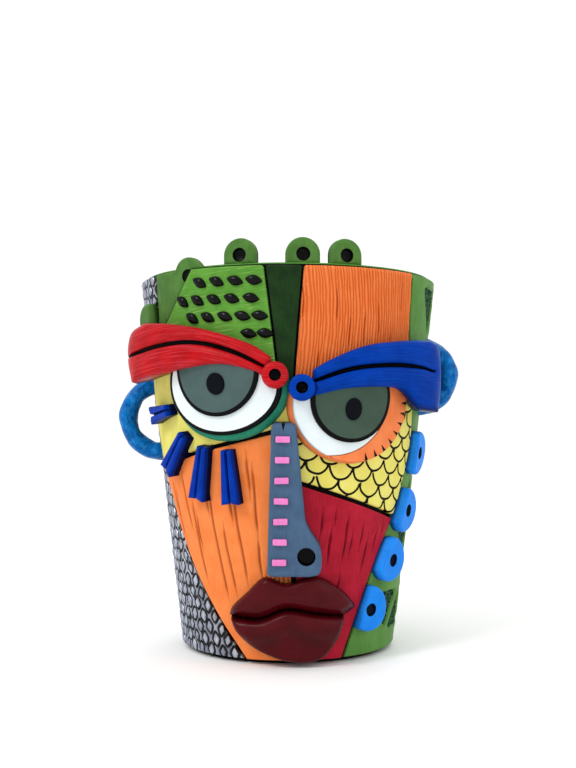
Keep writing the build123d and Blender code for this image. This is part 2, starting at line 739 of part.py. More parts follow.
def drain_plug():
    """A soft plug with a head in the foot's recess and a stem up the drain."""
    seat = foot_recess_depth - plug_seat_gap
    stem = drain_radius - plug_clearance
    top = foot_recess_depth + floor_thickness + plug_stem_rise
    profile = Polyline(
        (0, 0, seat - plug_head_thickness),
        (plug_head_radius, 0, seat - plug_head_thickness),
        (plug_head_radius, 0, seat),
        (stem, 0, seat),
        (stem, 0, top - plug_tip_round),
        (stem - plug_tip_round, 0, top),
        (0, 0, top),
        close=True,
    )
    body = revolve(make_face(profile), axis=Axis.Z)
    grip = Pos(0, 0, seat - plug_head_thickness) * extrude(Circle(plug_grip_radius), amount=plug_grip_depth)
    return body - grip


def over_brow(x_side, inner, length, height, low, bottom):
    """The block over a brow's lower edge that the eye under it has to stay clear of."""
    edge = Pos(0, -piece_clearance) * brow_curves(x_side, inner, length, height, low, bottom)
    outer, nose_end = edge @ 0, edge @ 1
    top = pot_height + overrun
    turns = Polyline(
        (nose_end.X, nose_end.Y), (0, nose_end.Y), (0, top), (outer.X, top), (outer.X, outer.Y)
    )
    return outward_block(make_face([edge, turns]), 0)


def build_all():
    """Every node by name."""
    pieces = {
        "pot_core": pot_core(),
        "side_wrap_left": side_wrap(-1, mask_left_edge_shares),
        "side_wrap_right": side_wrap(1, mask_right_edge_shares),
        "temple_backing": temple_backing(),
        "forehead_seeds": seeds(),
        "drain_plug": drain_plug(),
        "nose_slab": nose(),
        "nose_bars": nose_bars(),
        "lip_upper": lip(
            upper_lip_top_shares, upper_lip_low_shares, upper_lip_height, mouth_gap / 2, upper_lip_stand
        ),
        "lip_lower": lip(
            lower_lip_top_shares, lower_lip_low_shares, lower_lip_height, -mouth_gap / 2, lower_lip_stand
        ),
        "ear_left": ear(ear_left_azimuth, ear_left_height_share * pot_height, ear_left_radius),
        "ear_right": ear(ear_right_azimuth, ear_right_height_share * pot_height, ear_right_radius),
    }
    pieces.update(mask_panels())
    nose_room = outward_block(offset(nose_face(), amount=piece_clearance), nose_azimuth)
    for side, x_side, inner, length, height, low_share, top, end, bottom, groove, spot in (
        ("left", -1, brow_left_inner, brow_left_length, brow_left_height, brow_left_low_share,
         brow_left_top_shares, brow_left_end_shares, brow_left_low_edge_shares, groove_left_shares,
         button_left_spot),
        ("right", 1, brow_right_inner, brow_right_length, brow_right_height, brow_right_low_share,
         brow_right_top_shares, brow_right_end_shares, brow_right_low_edge_shares, groove_right_shares,
         button_right_spot),
    ):
        frame = (x_side, inner, length, height, low_share * pot_height)
        button_room = button(spot, button_radius + piece_clearance, button_thickness + overrun)
        outline = brow_outline(*frame, top, end, bottom)
        pieces[f"brow_{side}"] = brow(x_side, outline, groove, *frame[1:], button_room)
        pieces[f"brow_button_{side}"] = finished_button(spot)
        keep_out = over_brow(*frame, bottom) + button_room + nose_room
        if side == "left":
            plates = eye(eye_left_azimuth, eye_left_height, iris_left_shift, keep_out)
        else:
            plates = eye(eye_right_azimuth, eye_right_height, iris_right_shift, keep_out)
        for plate, shape in zip(("lid", "white", "iris", "pupil"), plates):
            pieces[f"eye_{plate}_{side}"] = shape
    white, crescent = crescent_split(pieces["eye_white_right"], eye_right_azimuth, eye_right_height)
    pieces["eye_white_right"] = white
    pieces["eye_crescent_right"] = crescent
    for number, (place, direction, length) in enumerate(lash_table, start=1):
        pieces[f"lash_{number}"] = lash(place, direction, length)
    for number, azimuth in enumerate(rim_tab_azimuths, start=1):
        pieces[f"rim_tab_{number}"] = rim_tab(azimuth)
    brow_top = brow_left_low_share * pot_height + brow_left_height + piece_clearance
    under_brow_top = extrude(Circle(rim_radius + overrun), amount=brow_top)
    left_rooms = (
        mask_side(mask_left_edge_shares, -1, piece_clearance), temple_corner(piece_clearance), under_brow_top
    )
    pieces["temple_tab"] = scallop(temple_tab_spot, left_rooms)
    right_rooms = (mask_side(mask_right_edge_shares, 1, piece_clearance),)
    for number, spot in enumerate(jaw_tab_spots, start=1):
        pieces[f"jaw_tab_{number}"] = scallop(spot, right_rooms)
    return pieces


os.makedirs("parts", exist_ok=True)
for name, shape in build_all().items():
    save(name, shape)
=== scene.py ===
import math

import bpy
import numpy as np
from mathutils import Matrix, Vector, kdtree
from mathutils.geometry import delaunay_2d_cdt


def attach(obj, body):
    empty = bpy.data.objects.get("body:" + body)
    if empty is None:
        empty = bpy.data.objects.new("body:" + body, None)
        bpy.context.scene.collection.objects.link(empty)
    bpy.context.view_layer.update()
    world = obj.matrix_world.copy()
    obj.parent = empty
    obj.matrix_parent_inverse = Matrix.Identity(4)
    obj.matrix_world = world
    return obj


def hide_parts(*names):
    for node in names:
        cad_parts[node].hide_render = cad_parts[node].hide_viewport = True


# Head planter, hand-painted cast resin, dressed as a patchwork face.
# Sizes are millimetres on the real pot. Azimuths are degrees round it, positive to the viewer's right.

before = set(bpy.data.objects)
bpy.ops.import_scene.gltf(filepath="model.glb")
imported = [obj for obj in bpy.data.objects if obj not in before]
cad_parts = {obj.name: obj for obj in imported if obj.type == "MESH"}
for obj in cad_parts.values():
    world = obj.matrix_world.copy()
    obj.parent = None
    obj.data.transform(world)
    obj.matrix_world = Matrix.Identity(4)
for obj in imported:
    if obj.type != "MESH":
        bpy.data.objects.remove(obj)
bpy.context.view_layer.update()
print("stage: frame loaded")

pot = {"height": 178.5, "rim": 70.5, "base": 49.0, "wall": 6.0, "floor": 8.0, "recess": 5.0, "footRing": 9.0,
       "drain": 7.0, "rimBevel": 1.6, "footBevel": 1.6, "rimBand": 3, "draft": 0.35, "corner": 1.3}
# how far each layer's face stands off the wall
layers = {"glue": 0.15, "wrap": 2.35, "panel": 3.35, "onPanel": 3.5, "onWrap": 2.5, "lid": 7.1, "white": 8.55,
          "iris": 9.9, "pupil": 10.95}
around = 62.0  # how many mm of wall a radian spans, for drawing on the unrolled wall
millimetre = 0.001
signs = {"left": -1, "right": 1}


def wallRadius(z):
    return pot["base"] + (pot["rim"] - pot["base"]) * z / pot["height"]


def heightAt(share):
    return share * pot["height"]


def unrolled(azimuth, share):
    return np.array((math.radians(azimuth) * around, heightAt(share)))


def stepped(line, step, closed=False):
    # points a step apart along a line
    line = np.array(line, float)
    if closed:
        line = np.vstack([line, line[:1]])
    run = np.concatenate([[0], np.cumsum(np.hypot(*np.diff(line, axis=0).T))])
    places = np.linspace(0, run[-1], max(2, int(round(run[-1] / step)) + 1))
    out = np.stack([np.interp(places, run, line[:, 0]), np.interp(places, run, line[:, 1])], 1)
    return out[:-1] if closed else out


def curve(points, step=0.5):
    # a smooth line through the points
    pts = np.array(points, float)
    held = np.vstack([2 * pts[0] - pts[1], pts, 2 * pts[-1] - pts[-2]])
    t = np.linspace(0, 1, 24, endpoint=False)[:, None]
    out = []
    for a, b, c, d in zip(held, held[1:], held[2:], held[3:]):
        out.append(0.5 * (2 * b + (c - a) * t + (2 * a - 5 * b + 4 * c - d) * t ** 2
                          + (3 * b - a - 3 * c + d) * t ** 3))
    return stepped(np.vstack(out + [pts[-1:]]), step)


def oval(halfWidth, halfHeight, step=0.5, centre=(0, 0)):
    turn = np.linspace(0, 2 * math.pi, 240, endpoint=False)
    ring = np.stack([centre[0] + halfWidth * np.cos(turn), centre[1] + halfHeight * np.sin(turn)], 1)
    return stepped(ring, step, True)


def soften(polygon, radius):
    # rounds each corner, as a fingertip would, and leaves gentle bends alone
    polygon = np.array(polygon, float)
    gentle, mostOfSide = 0.35, 0.45
    out = []
    for i, p in enumerate(polygon):
        before, after = polygon[i - 1] - p, polygon[(i + 1) % len(polygon)] - p
        lengths = np.hypot(*before), np.hypot(*after)
        if min(lengths) < 1e-6:
            continue
        if math.acos(max(-1, min(1, -(before @ after) / (lengths[0] * lengths[1])))) < gentle:
            out.append(p)
            continue
        a = p + before / lengths[0] * min(radius, mostOfSide * lengths[0])
        b = p + after / lengths[1] * min(radius, mostOfSide * lengths[1])
        out += [(1 - t) ** 2 * a + 2 * t * (1 - t) * p + t ** 2 * b for t in np.linspace(0, 1, 6)]
    return np.array(out)


def rounded(polygon, radius, step):
    return stepped(soften(polygon, radius), step, True)


def spun(points, turn):
    return points @ np.array([[math.cos(turn), math.sin(turn)], [-math.sin(turn), math.cos(turn)]])


def clip(polygon, a, b):
    # keeps what lies left of the line from a to b
    out = []
    a, b = np.array(a, float), np.array(b, float)

    def side(p):
        return (b[0] - a[0]) * (p[1] - a[1]) - (b[1] - a[1]) * (p[0] - a[0])

    for p, q in zip(polygon, np.roll(polygon, -1, axis=0)):
        sp, sq = side(p), side(q)
        if sp >= 0:
            out.append(p)
        if sp * sq < 0:
            out.append(p + (q - p) * sp / (sp - sq))
    return np.array(out)


def isInside(points, outline):
    inside = np.zeros(len(points), bool)
    x, y = points[:, 0], points[:, 1]
    for (x1, y1), (x2, y2) in zip(outline, np.roll(outline, -1, axis=0)):
        if y1 != y2:
            inside ^= ((y1 > y) != (y2 > y)) & (x < (x2 - x1) * (y - y1) / (y2 - y1) + x1)
    return inside


def treeOf(points):
    tree = kdtree.KDTree(len(points))
    for i, (x, y) in enumerate(points):
        tree.insert((x, y, 0), i)
    tree.balance()
    return tree


def nearest(points, tree):
    return np.array([tree.find((x, y, 0))[2] for x, y in points])


def nearestIndex(points, tree):
    return np.array([tree.find((x, y, 0))[1] for x, y in points])


def awayFrom(points, tree, distance):
    return points[nearest(points, tree) > distance] if len(points) else points


def treeWithEnds(lines, step=0.1):
    # also tells how far along its line each point is from the nearer end
    pieces = [stepped(line, step) for line in lines]
    steps = [np.minimum(np.arange(len(p)), np.arange(len(p))[::-1]) for p in pieces]
    return treeOf(np.vstack(pieces)), step * np.concatenate(steps)


def treeOfLines(lines):
    return treeWithEnds(lines)[0]


def roundTrip(ring):
    return np.roll(ring, -1, axis=0) - np.roll(ring, 1, axis=0)


def normalsOf(run):
    return np.stack([-run[:, 1], run[:, 0]], 1) / np.maximum(np.hypot(*run.T), 1e-9)[:, None]


def rowsAlong(lines, offsets, step, closed=False):
    # rows of mesh points that follow each line, so that grooves and painted lines come out crisp
    rows = []
    for line in lines:
        pts = stepped(line, step, closed)
        normals = normalsOf(roundTrip(pts) if closed else np.gradient(pts, axis=0))
        rows += [pts + normals * offset for offset in offsets]
    return np.vstack(rows)


def smooth(t):
    t = np.clip(t, 0, 1)
    return t * t * (3 - 2 * t)


def waves(flat, size, seed):
    # gentle unevenness of a hand-worked surface, about -1 to 1
    rng = np.random.default_rng(seed)
    total = np.zeros(len(flat))
    for _ in range(7):
        turn, phase, pitch = rng.uniform(0, math.pi), rng.uniform(0, 6.28), size * rng.uniform(0.7, 1.6)
        total += np.sin((flat[:, 0] * math.cos(turn) + flat[:, 1] * math.sin(turn)) * 2 * math.pi / pitch + phase)
    return total / 4


# A place function puts flat points on the pot: u across, v up and stand outward.
def onWall(u, v, stand):
    turn, radius = u / around, wallRadius(v) + stand
    return np.stack([radius * np.sin(turn), -radius * np.cos(turn), v], 1)


def facing(azimuth):
    a = math.radians(azimuth)

    def place(u, v, stand):
        depth = np.sqrt(np.maximum((wallRadius(v) + stand) ** 2 - u ** 2, 1))
        return np.stack([u * math.cos(a) + depth * math.sin(a), u * math.sin(a) - depth * math.cos(a), v], 1)

    return place


def flatPlace(origin, across, up, out, zero=0.0):
    # a flat plane, on which v is counted from zero
    def place(u, v, stand):
        return origin + np.outer(u, across) + np.outer(v - zero, up) + np.outer(stand, out)

    return place


def compass(a):
    # level directions to the right and outward at an angle round the pot
    return np.array((math.cos(a), math.sin(a), 0)), np.array((math.sin(a), -math.cos(a), 0))


def atDistance(a, distance, z):
    return compass(a)[1] * distance + np.array((0, 0, z))


def leanAxes(a):
    # right, up and out of a plane that leans with the wall
    lean = math.atan((pot["rim"] - pot["base"]) / pot["height"])
    right, outward = compass(a)
    out = outward * math.cos(lean) - np.array((0, 0, math.sin(lean)))
    return right, np.cross(out, right), out


def leaning(azimuth, z, distance):
    # a plane that leans with the wall and passes height z at that distance from the pot's middle
    a = math.radians(azimuth)
    return flatPlace(atDistance(a, distance, z), *leanAxes(a), z)


def bentBack(place, radius):
    # the same plane's back, bent round the wall that carries it
    def back(u, v, stand):
        return place(u, v, stand - radius + np.sqrt(np.maximum(radius ** 2 - u ** 2, 1)))

    return back


def cdt(points, count):
    out = delaunay_2d_cdt([Vector(p) for p in points], [], [list(range(count))], 1, 1e-5)
    pts = np.array([tuple(p) for p in out[0]])
    faces = [tuple(f) for f in out[2]]
    a, b, c = (pts[faces[0][k]] for k in range(3))
    if (b[0] - a[0]) * (c[1] - a[1]) - (b[1] - a[1]) * (c[0] - a[0]) < 0:
        faces = [f[::-1] for f in faces]
    return pts, faces, out[3]


def rimLoop(faces):
    edges = {(a, b) for face in faces for a, b in zip(face, face[1:] + face[:1])}
    following = {a: b for a, b in edges if (b, a) not in edges}
    start = min(following)
    loop = [start]
    while following[loop[-1]] != start and len(loop) < len(following):
        loop.append(following[loop[-1]])
    if len(loop) != len(following):
        raise ValueError("a tile's outline crosses itself near %s" % (loop[-1],))
    return loop


def signedArea(polygon):
    x, y = polygon[:, 0], polygon[:, 1]
    return 0.5 * np.sum(x * np.roll(y, -1) - np.roll(x, -1) * y)


def counter(polygon):
    # counter-clockwise
    return polygon if signedArea(polygon) > 0 else polygon[::-1]


# how close mesh points come: rings, kept and to in shares of the edge or the step, rimStep and rowCell in mm
meshing = {"rimStep": 0.06, "rings": (0.14, 0.38, 0.7, 1.0), "ringKept": 0.93, "rowKept": 0.45, "rowCell": 0.14,
           "gridRise": 0.866, "gridToEdge": 0.45, "gridToRow": 0.6, "ringToRow": 0.3, "backToEdge": 0.3}
unmarked = {"stand": 0.0, "ink": 9.0, "wash": 0.0}  # far from any black line, and no wash
backEdge = -2.5  # a tile's back counts as this many mm down its sides


def tile(outline, place, front, back, step, edge, rows=None, relief=None, backPlace=None, backStep=6.0,
         strokes=None):
    # one clay tile: a rounded front with its relief, straight sides and a closed back
    outline = counter(np.array(outline))
    rim = treeOf(stepped(outline, meshing["rimStep"], True))
    low, high = outline.min(0), outline.max(0)
    ys = np.arange(low[1] + step / 2, high[1], step * meshing["gridRise"])
    xs = np.arange(low[0] + step / 2, high[0], step)
    grid = np.array([(x + (j % 2) * step / 2, y) for j, y in enumerate(ys) for x in xs])
    grid = awayFrom(grid[isInside(grid, outline)], rim, edge + meshing["gridToEdge"] * step)
    inward = normalsOf(roundTrip(outline))
    rings = []
    for share in meshing["rings"]:
        ring = outline + inward * edge * share
        rings.append(awayFrom(ring[isInside(ring, outline)], rim, meshing["ringKept"] * edge * share))
    points = [outline, *rings]
    if rows is not None:
        rows = awayFrom(rows[isInside(rows, outline)], rim, meshing["rowKept"] * edge)
        rows = rows[np.unique(np.round(rows / meshing["rowCell"]).astype(int), axis=0, return_index=True)[1]]
        follow = treeOf(rows)
        grid = awayFrom(grid, follow, meshing["gridToRow"] * step)
        points = [outline, *(awayFrom(ring, follow, meshing["ringToRow"]) for ring in rings), rows]
    flat, faces, _ = cdt(np.vstack([p for p in points + [grid] if len(p)]), len(outline))
    loop = rimLoop(faces)
    gap = nearest(flat, rim)
    gap[loop] = 0
    inset = edge - np.sqrt(edge ** 2 - (edge - np.minimum(gap, edge)) ** 2)
    marks = {**unmarked, **(relief(flat, gap) if relief else {})}
    top = place(flat[:, 0], flat[:, 1], front - inset + marks["stand"])
    # a coarse back that still bends with the wall
    border = flat[loop]
    inner = np.array([(x, y) for y in np.arange(low[1], high[1], backStep)
                      for x in np.arange(low[0], high[0], backStep)])
    inner = awayFrom(inner[isInside(inner, border)], rim, meshing["backToEdge"] * backStep)
    under, underFaces, origins = cdt(np.vstack([border, inner]) if len(inner) else border, len(border))
    slotOf = {source: i for i, sources in enumerate(origins) for source in sources}
    bottom = (backPlace or place)(under[:, 0], under[:, 1], np.full(len(under), float(back)))
    first = len(flat)
    ring = [first + slotOf[k] for k in range(len(loop))]
    sides = [(b, a, c, d) for a, b, c, d in zip(loop, loop[1:] + loop[:1], ring, ring[1:] + ring[:1])]
    part = {"verts": np.vstack([top, bottom]), "finish": 0, "edge": np.append(gap, np.full(len(under), backEdge)),
            "faces": faces + sides + [tuple(first + i for i in f[::-1]) for f in underFaces],
            "along": np.vstack([strokes(flat), strokes(under)] if strokes else [flat, under])}
    for name in ("ink", "wash"):
        values = np.broadcast_to(marks[name], len(flat))
        lower = np.full(len(under), unmarked[name])
        lower[[i - first for i in ring]] = values[loop]
        part[name] = np.concatenate([values, lower])
    return part


def wallTile(outline, layer, *making, **more):
    return tile(outline, onWall, layers[layer], layers["glue"], *making, **more)


def addPiece(node, slot, paints, *parts, body="planter"):
    words = node.replace("_panel", "").split("_")
    name = words[0] + "".join(word.capitalize() for word in words[1:])
    faces, count = [], 0
    for part in parts:
        faces += [tuple(count + i for i in face) for face in part["faces"]]
        count += len(part["verts"])
    mesh = bpy.data.meshes.new(name)
    mesh.from_pydata((np.vstack([part["verts"] for part in parts]) * millimetre).tolist(), [], faces)
    for key in ("ink", "wash", "edge"):
        values = np.concatenate([np.broadcast_to(part[key], len(part["verts"])) for part in parts])
        mesh.attributes.new(key, "FLOAT", "POINT").data.foreach_set("value", values.astype(np.float32))
    flat = np.vstack([part["along"] for part in parts])
    flat = np.column_stack([flat, np.zeros(len(flat))]).astype(np.float32)
    mesh.attributes.new("along", "FLOAT_VECTOR", "POINT").data.foreach_set("vector", flat.ravel())
    for paint in paints.split():
        mesh.materials.append(finish[paint])
    finishes = np.concatenate([np.broadcast_to(part["finish"], len(part["faces"])) for part in parts])
    mesh.polygons.foreach_set("material_index", finishes.astype(np.int32))
    mesh.shade_smooth()
    mesh.set_sharp_from_angle(angle=math.radians(42))
    mesh.update()
    piece = bpy.data.objects.new(name, mesh)
    bpy.context.scene.collection.objects.link(piece)
    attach(piece, body)
    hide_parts(node)


paintDepth = 0.78  # paint is a little deeper than it looks under bright light on a white sweep
# what a paint has unless its own look says otherwise; brush, blotch and grit are sizes in mm
# sides and gapDark darken each piece's sides, partly as wash and partly as painted shade
usualLook = {"brush": (0.8, 8.0), "blotch": 9.0, "grit": 0.5, "streak": 0.22, "streakRange": (0.42, 0.72),
             "worn": 0.3, "sides": (-0.5, -2.0), "gapDark": 0.8, "ragged": 0.3, "ink": "#0b0b0d",
             "inkLight": "#3a3a40", "inkSpeckle": 0.0, "inkRough": 0.34, "bristleHeight": 0.3, "lump": 1.4,
             "fineHeight": 0.22, "bump": 0.5, "metal": 0.0, "gloss": 0.06}


def linear(code, depth=1.0):
    out = []
    for k in (1, 3, 5):
        c = int(code[k:k + 2], 16) / 255
        out.append(depth * (c / 12.92 if c <= 0.04045 else ((c + 0.055) / 1.055) ** 2.4))
    return (*out, 1.0)


def addNode(tree, kind, settings):
    # a key that is an input's name or number is a value or a link, and any other key is the node's own setting
    node = tree.nodes.new("ShaderNode" + kind)
    for key, value in settings.items():
        if isinstance(key, str) and key not in node.inputs:
            setattr(node, key, value)
        elif isinstance(value, bpy.types.NodeSocket):
            tree.links.new(value, node.inputs[key])
        else:
            node.inputs[key].default_value = value
    return node.outputs


def emptyTree(material):
    material.use_nodes = True
    material.node_tree.nodes.clear()
    return material.node_tree


# Painted cast resin: a poured polyresin body, brushed with opaque acrylic and left satin.
# The eye gets soft broad highlights, faint bristle marks, thin worn edges, and wash with painted shade in the hollows.
def castPaint(name, ownLook):
    look = {**usualLook, **ownLook}
    base, shade, light, deep, inkDark, inkLight = (
        linear(code, paintDepth) for code in (*look["tones"], look["ink"], look["inkLight"]))
    material = bpy.data.materials.new(name)
    tree = emptyTree(material)
    place = addNode(tree, "TexCoord", {})["Object"]
    ink, wash, edge = (addNode(tree, "Attribute", {"attribute_name": key})["Fac"] for key in ("ink", "wash", "edge"))
    along = addNode(tree, "Attribute", {"attribute_name": "along"})["Vector"]
    length, width = look["brush"]
    stretched = addNode(tree, "VectorMath", {"operation": "MULTIPLY", 0: along, 1: (1 / length, 1 / width, 1.0)})[0]
    bristle = addNode(tree, "TexNoise", {"Vector": stretched, "Scale": 1.0, "Detail": 4.0, "Roughness": 0.6})[0]
    blotch, fine = (addNode(tree, "TexNoise", {"Vector": place, "Scale": 1000 / look[key], "Detail": detail})[0]
                    for key, detail in (("blotch", 3.0), ("grit", 2.0)))
    # the black lines have the slightly ragged border of hand-drawn ones
    ragged = addNode(tree, "Math", {"operation": "MULTIPLY_ADD", 0: fine, 1: look["ragged"], 2: ink})[0]
    half, blur = 0.5 * look["ragged"], 0.09
    # each one: what it follows, where it starts, where it is full and how strong it gets
    cloud, streak, rubbed, nearEdge, sideways, inked, speckle = (
        addNode(tree, "MapRange", {"interpolation_type": "SMOOTHSTEP", 0: source, 1: start, 2: full, 4: most})[0]
        for source, start, full, most in (
            (blotch, 0.32, 0.68, 1.0), (bristle, *look["streakRange"], look["streak"]),
            (fine, 0.35, 0.7, look["worn"]), (edge, 0.9, 0.1, 1.0), (edge, *look["sides"], look["gapDark"]),
            (ragged, half + blur, half - blur, 1.0), (fine, 0.4, 0.66, look["inkSpeckle"])))
    # the brush skips along the edges, and handling rubs them
    worn = addNode(tree, "Math", {"operation": "MULTIPLY", 0: rubbed, 1: nearEdge})[0]
    # dark paint in the hollows and down the sides of each piece, partly wash and partly painted shade
    patchy = addNode(tree, "MapRange", {0: fine, 1: 0.2, 2: 0.6, 3: 0.75, 4: 1.0})[0]
    hollow = addNode(tree, "Math", {"operation": "MULTIPLY", 0: wash, 1: patchy})[0]
    hollow = addNode(tree, "Math", {"operation": "MAXIMUM", 0: hollow, 1: sideways})[0]
    inkPaint = addNode(tree, "Mix", {"data_type": "RGBA", 0: speckle, 6: inkDark, 7: inkLight})[2]
    paint = shade
    for cover, coat in ((cloud, base), (streak, light), (worn, light), (hollow, deep), (inked, inkPaint)):
        paint = addNode(tree, "Mix", {"data_type": "RGBA", 0: cover, 6: paint, 7: coat})[2]

    rough = addNode(tree, "MapRange", {0: bristle, 1: 0.3, 2: 0.7, 3: look["rough"] - 0.06, 4: look["rough"] + 0.08})[0]
    rough = addNode(tree, "Mix", {"data_type": "FLOAT", 0: inked, 2: rough, 3: look["inkRough"]})[0]
    height = 0.0
    for source, key in ((bristle, "bristleHeight"), (blotch, "lump"), (fine, "fineHeight")):
        height = addNode(tree, "Math", {"operation": "MULTIPLY_ADD", 0: source, 1: look[key], 2: height})[0]
    bump = addNode(tree, "Bump", {"Height": height, "Strength": look["bump"], "Distance": 0.4 * millimetre})[0]
    metal = look["metal"]
    if metal:
        # the black in the hollows isn't metal
        covered = addNode(tree, "Math", {"operation": "MAXIMUM", 0: inked, 1: hollow})[0]
        metal = addNode(tree, "Math", {"operation": "MULTIPLY_ADD", 0: covered, 1: -metal, 2: metal})[0]
    shader = addNode(tree, "BsdfPrincipled", {"Base Color": paint, "Roughness": rough, "Normal": bump, "IOR": 1.5,
                                              "Metallic": metal, "Specular IOR Level": look["gloss"]})[0]
    addNode(tree, "OutputMaterial", {"Surface": shader})
    return material


# a paint's tones: its base, its shade, its light and the dark of hollows and sides, partly wash and partly painted
# shade
paints = {
    "foreheadGreen": {"tones": ("#63a23c", "#589434", "#a9cf7c", "#14240f"), "rough": 0.42, "brush": (11.0, 0.55),
                      "streak": 0.6, "streakRange": (0.55, 0.68), "bristleHeight": 0.4},
    "tabGreen": {"tones": ("#527f3a", "#476f31", "#6c9850", "#101d0c"), "rough": 0.46},
    "wallGreen": {"tones": ("#619546", "#54873b", "#80af63", "#16280f"), "rough": 0.46, "ink": "#0c2415",
                  "inkLight": "#47785a", "inkSpeckle": 0.75, "inkRough": 0.8, "ragged": 0.6, "lump": 2.0, "grit": 1.1},
    "wedgeGreen": {"tones": ("#1e3a19", "#162c13", "#2b4c24", "#080d07"), "rough": 0.45},
    "combOrange": {"tones": ("#ff8a48", "#f97f3c", "#ffa468", "#a93a0e"), "rough": 0.5},
    "cheekOrange": {"tones": ("#ff8f4c", "#fa8440", "#ffa669", "#8f3a12"), "rough": 0.45},
    "maizeYellow": {"tones": ("#f5ec7c", "#ece168", "#fbf49a", "#4b3f10"), "rough": 0.45},
    "crimson": {"tones": ("#b81c34", "#a8162b", "#c8374c", "#470811"), "rough": 0.42},
    # the red brow's light streaks are brush marks and partly a painted pinkish sheen
    "browRed": {"tones": ("#bf090f", "#aa060b", "#da4454", "#3d0406"), "rough": 0.32, "brush": (18.0, 0.6),
                "streak": 0.6, "bristleHeight": 0.45, "gloss": 0.07, "ink": "#030304", "inkRough": 0.6},
    "browBlue": {"tones": ("#003ba8", "#003396", "#0a4eba", "#010825"), "rough": 0.32, "brush": (18.0, 0.6),
                 "streak": 0.6, "bristleHeight": 0.45, "gloss": 0.03, "ink": "#030304"},
    "lashBlue": {"tones": ("#0039b0", "#003099", "#0a50c8", "#010726"), "rough": 0.34, "brush": (8.0, 0.6),
                 "sides": (-0.1, -0.9), "gapDark": 0.95, "gloss": 0.04},
    "earBlue": {"tones": ("#0070c2", "#02549c", "#2e96e2", "#0a2f5e"), "rough": 0.28, "blotch": 4.2, "lump": 4.0,
                "streak": 0.7, "brush": (2.6, 1.8)},
    "skyBlue": {"tones": ("#1b8ffc", "#1484f2", "#45a8ff", "#0b2a55"), "rough": 0.42, "ink": "#0a1424"},
    "lidTeal": {"tones": ("#2f9475", "#258064", "#4dac90", "#0b2019"), "rough": 0.36},
    "eyeWhite": {"tones": ("#f1fbfd", "#ebf6f9", "#f8feff", "#20242a"), "rough": 0.38, "streak": 0.1, "bump": 0.3},
    "irisGrey": {"tones": ("#506665", "#4b605f", "#5a7170", "#16201c"), "rough": 0.55, "streak": 0.15, "bump": 0.3},
    "irisMoss": {"tones": ("#465a4d", "#415447", "#506457", "#121b16"), "rough": 0.55, "streak": 0.15, "bump": 0.3},
    "pupilBlack": {"tones": ("#070b12", "#05080d", "#0f141d", "#040506"), "rough": 0.42, "bump": 0.3, "gloss": 0.05},
    "rimOrange": {"tones": ("#ff8d52", "#f68046", "#ffa670", "#5c240c"), "rough": 0.42},
    "noseSlate": {"tones": ("#4d6988", "#455f7c", "#5f7c9a", "#10151b"), "rough": 0.5},
    "barPink": {"tones": ("#f58ad0", "#ec7ec6", "#ffaade", "#5b1a44"), "rough": 0.42},
    "lipMaroon": {"tones": ("#530710", "#48060c", "#5f0f18", "#0d0203"), "rough": 0.28, "brush": (9.0, 1.6),
                  "streak": 0.15, "bristleHeight": 0.15, "fineHeight": 0.06, "gloss": 0.1, "worn": 0.08},
    "beadBlack": {"tones": ("#0b0f0d", "#070a08", "#1a2019", "#030403"), "rough": 0.16, "worn": 0.05, "gloss": 0.1},
    "groutBlack": {"tones": ("#0a0c0a", "#070807", "#161915", "#040404"), "rough": 0.6},
    "potGreen": {"tones": ("#5c963c", "#4d8432", "#71a94d", "#14240f"), "rough": 0.5},
    "bareResin": {"tones": ("#8e8a80", "#817d73", "#a39f95", "#38362f"), "rough": 0.68},
}
finish = {name: castPaint(name, look) for name, look in paints.items()}

# Pewter wash: silver metallic acrylic over black, wiped so that black stays in the stamped hollows.
# It gives bright soft-edged lozenges on a darker, cloudy metal.
finish["pewterWash"] = castPaint("pewterWash", {
    "tones": ("#cbd1e2", "#9098ad", "#f6f8ff", "#08080a"), "rough": 0.34, "metal": 0.7, "blotch": 5.0, "streak": 0.4,
    "worn": 0.4, "lump": 1.6, "ragged": 0.25, "gloss": 0.3, "ink": "#050507"})

# Soft moulded PVC: the drain plug, matt black with a faint bloom.
finish["plugRubber"] = castPaint("plugRubber", {
    "tones": ("#1b1c1e", "#151618", "#2b2c2f", "#090909"), "rough": 0.62, "streak": 0.2, "bump": 0.25})
print("stage: finishes")


def revolve(profile, finishes, count=180):
    # a turned shape from (radius, height) points, with a finish for each run between two of them
    turn = np.linspace(0, 2 * math.pi, count, endpoint=False)
    verts, faces, rings = [], [], []
    for radius, z in profile:
        spots = [(0, 0, z)] if radius < 1e-6 else [(radius * math.cos(t), radius * math.sin(t), z) for t in turn]
        rings.append(list(range(len(verts), len(verts) + len(spots))))
        verts += spots
    for a, b in zip(rings, rings[1:]):
        for i in range(count):
            j = (i + 1) % count
            if len(a) == 1:
                faces.append((b[j], b[i], a[0]))
            elif len(b) == 1:
                faces.append((a[j], b[0], a[i]))
            else:
                faces.append((a[j], b[j], b[i], a[i]))
    verts = np.array(verts)
    turnOf = np.arctan2(verts[:, 1], verts[:, 0]) * around
    return {**unmarked, "verts": verts, "faces": faces, "finish": np.repeat(finishes, count), "edge": 9.0,
            "along": np.stack([turnOf, verts[:, 2]], 1)}


def roundCorners(profile, radius):
    # a profile's corners, each turned into a small arc
    out = [profile[0]]
    for before, p, after in zip(profile, profile[1:], profile[2:]):
        before, p, after = (np.array(q, float) for q in (before, p, after))
        a, b = before - p, after - p
        la, lb = np.hypot(*a), np.hypot(*b)
        ra, rb = min(radius, 0.45 * la), min(radius, 0.45 * lb)
        for t in np.linspace(0, 1, 5):
            out.append(tuple((1 - t) ** 2 * (p + a / la * ra) + 2 * t * (1 - t) * p + t * t * (p + b / lb * rb)))
    return out + [profile[-1]]


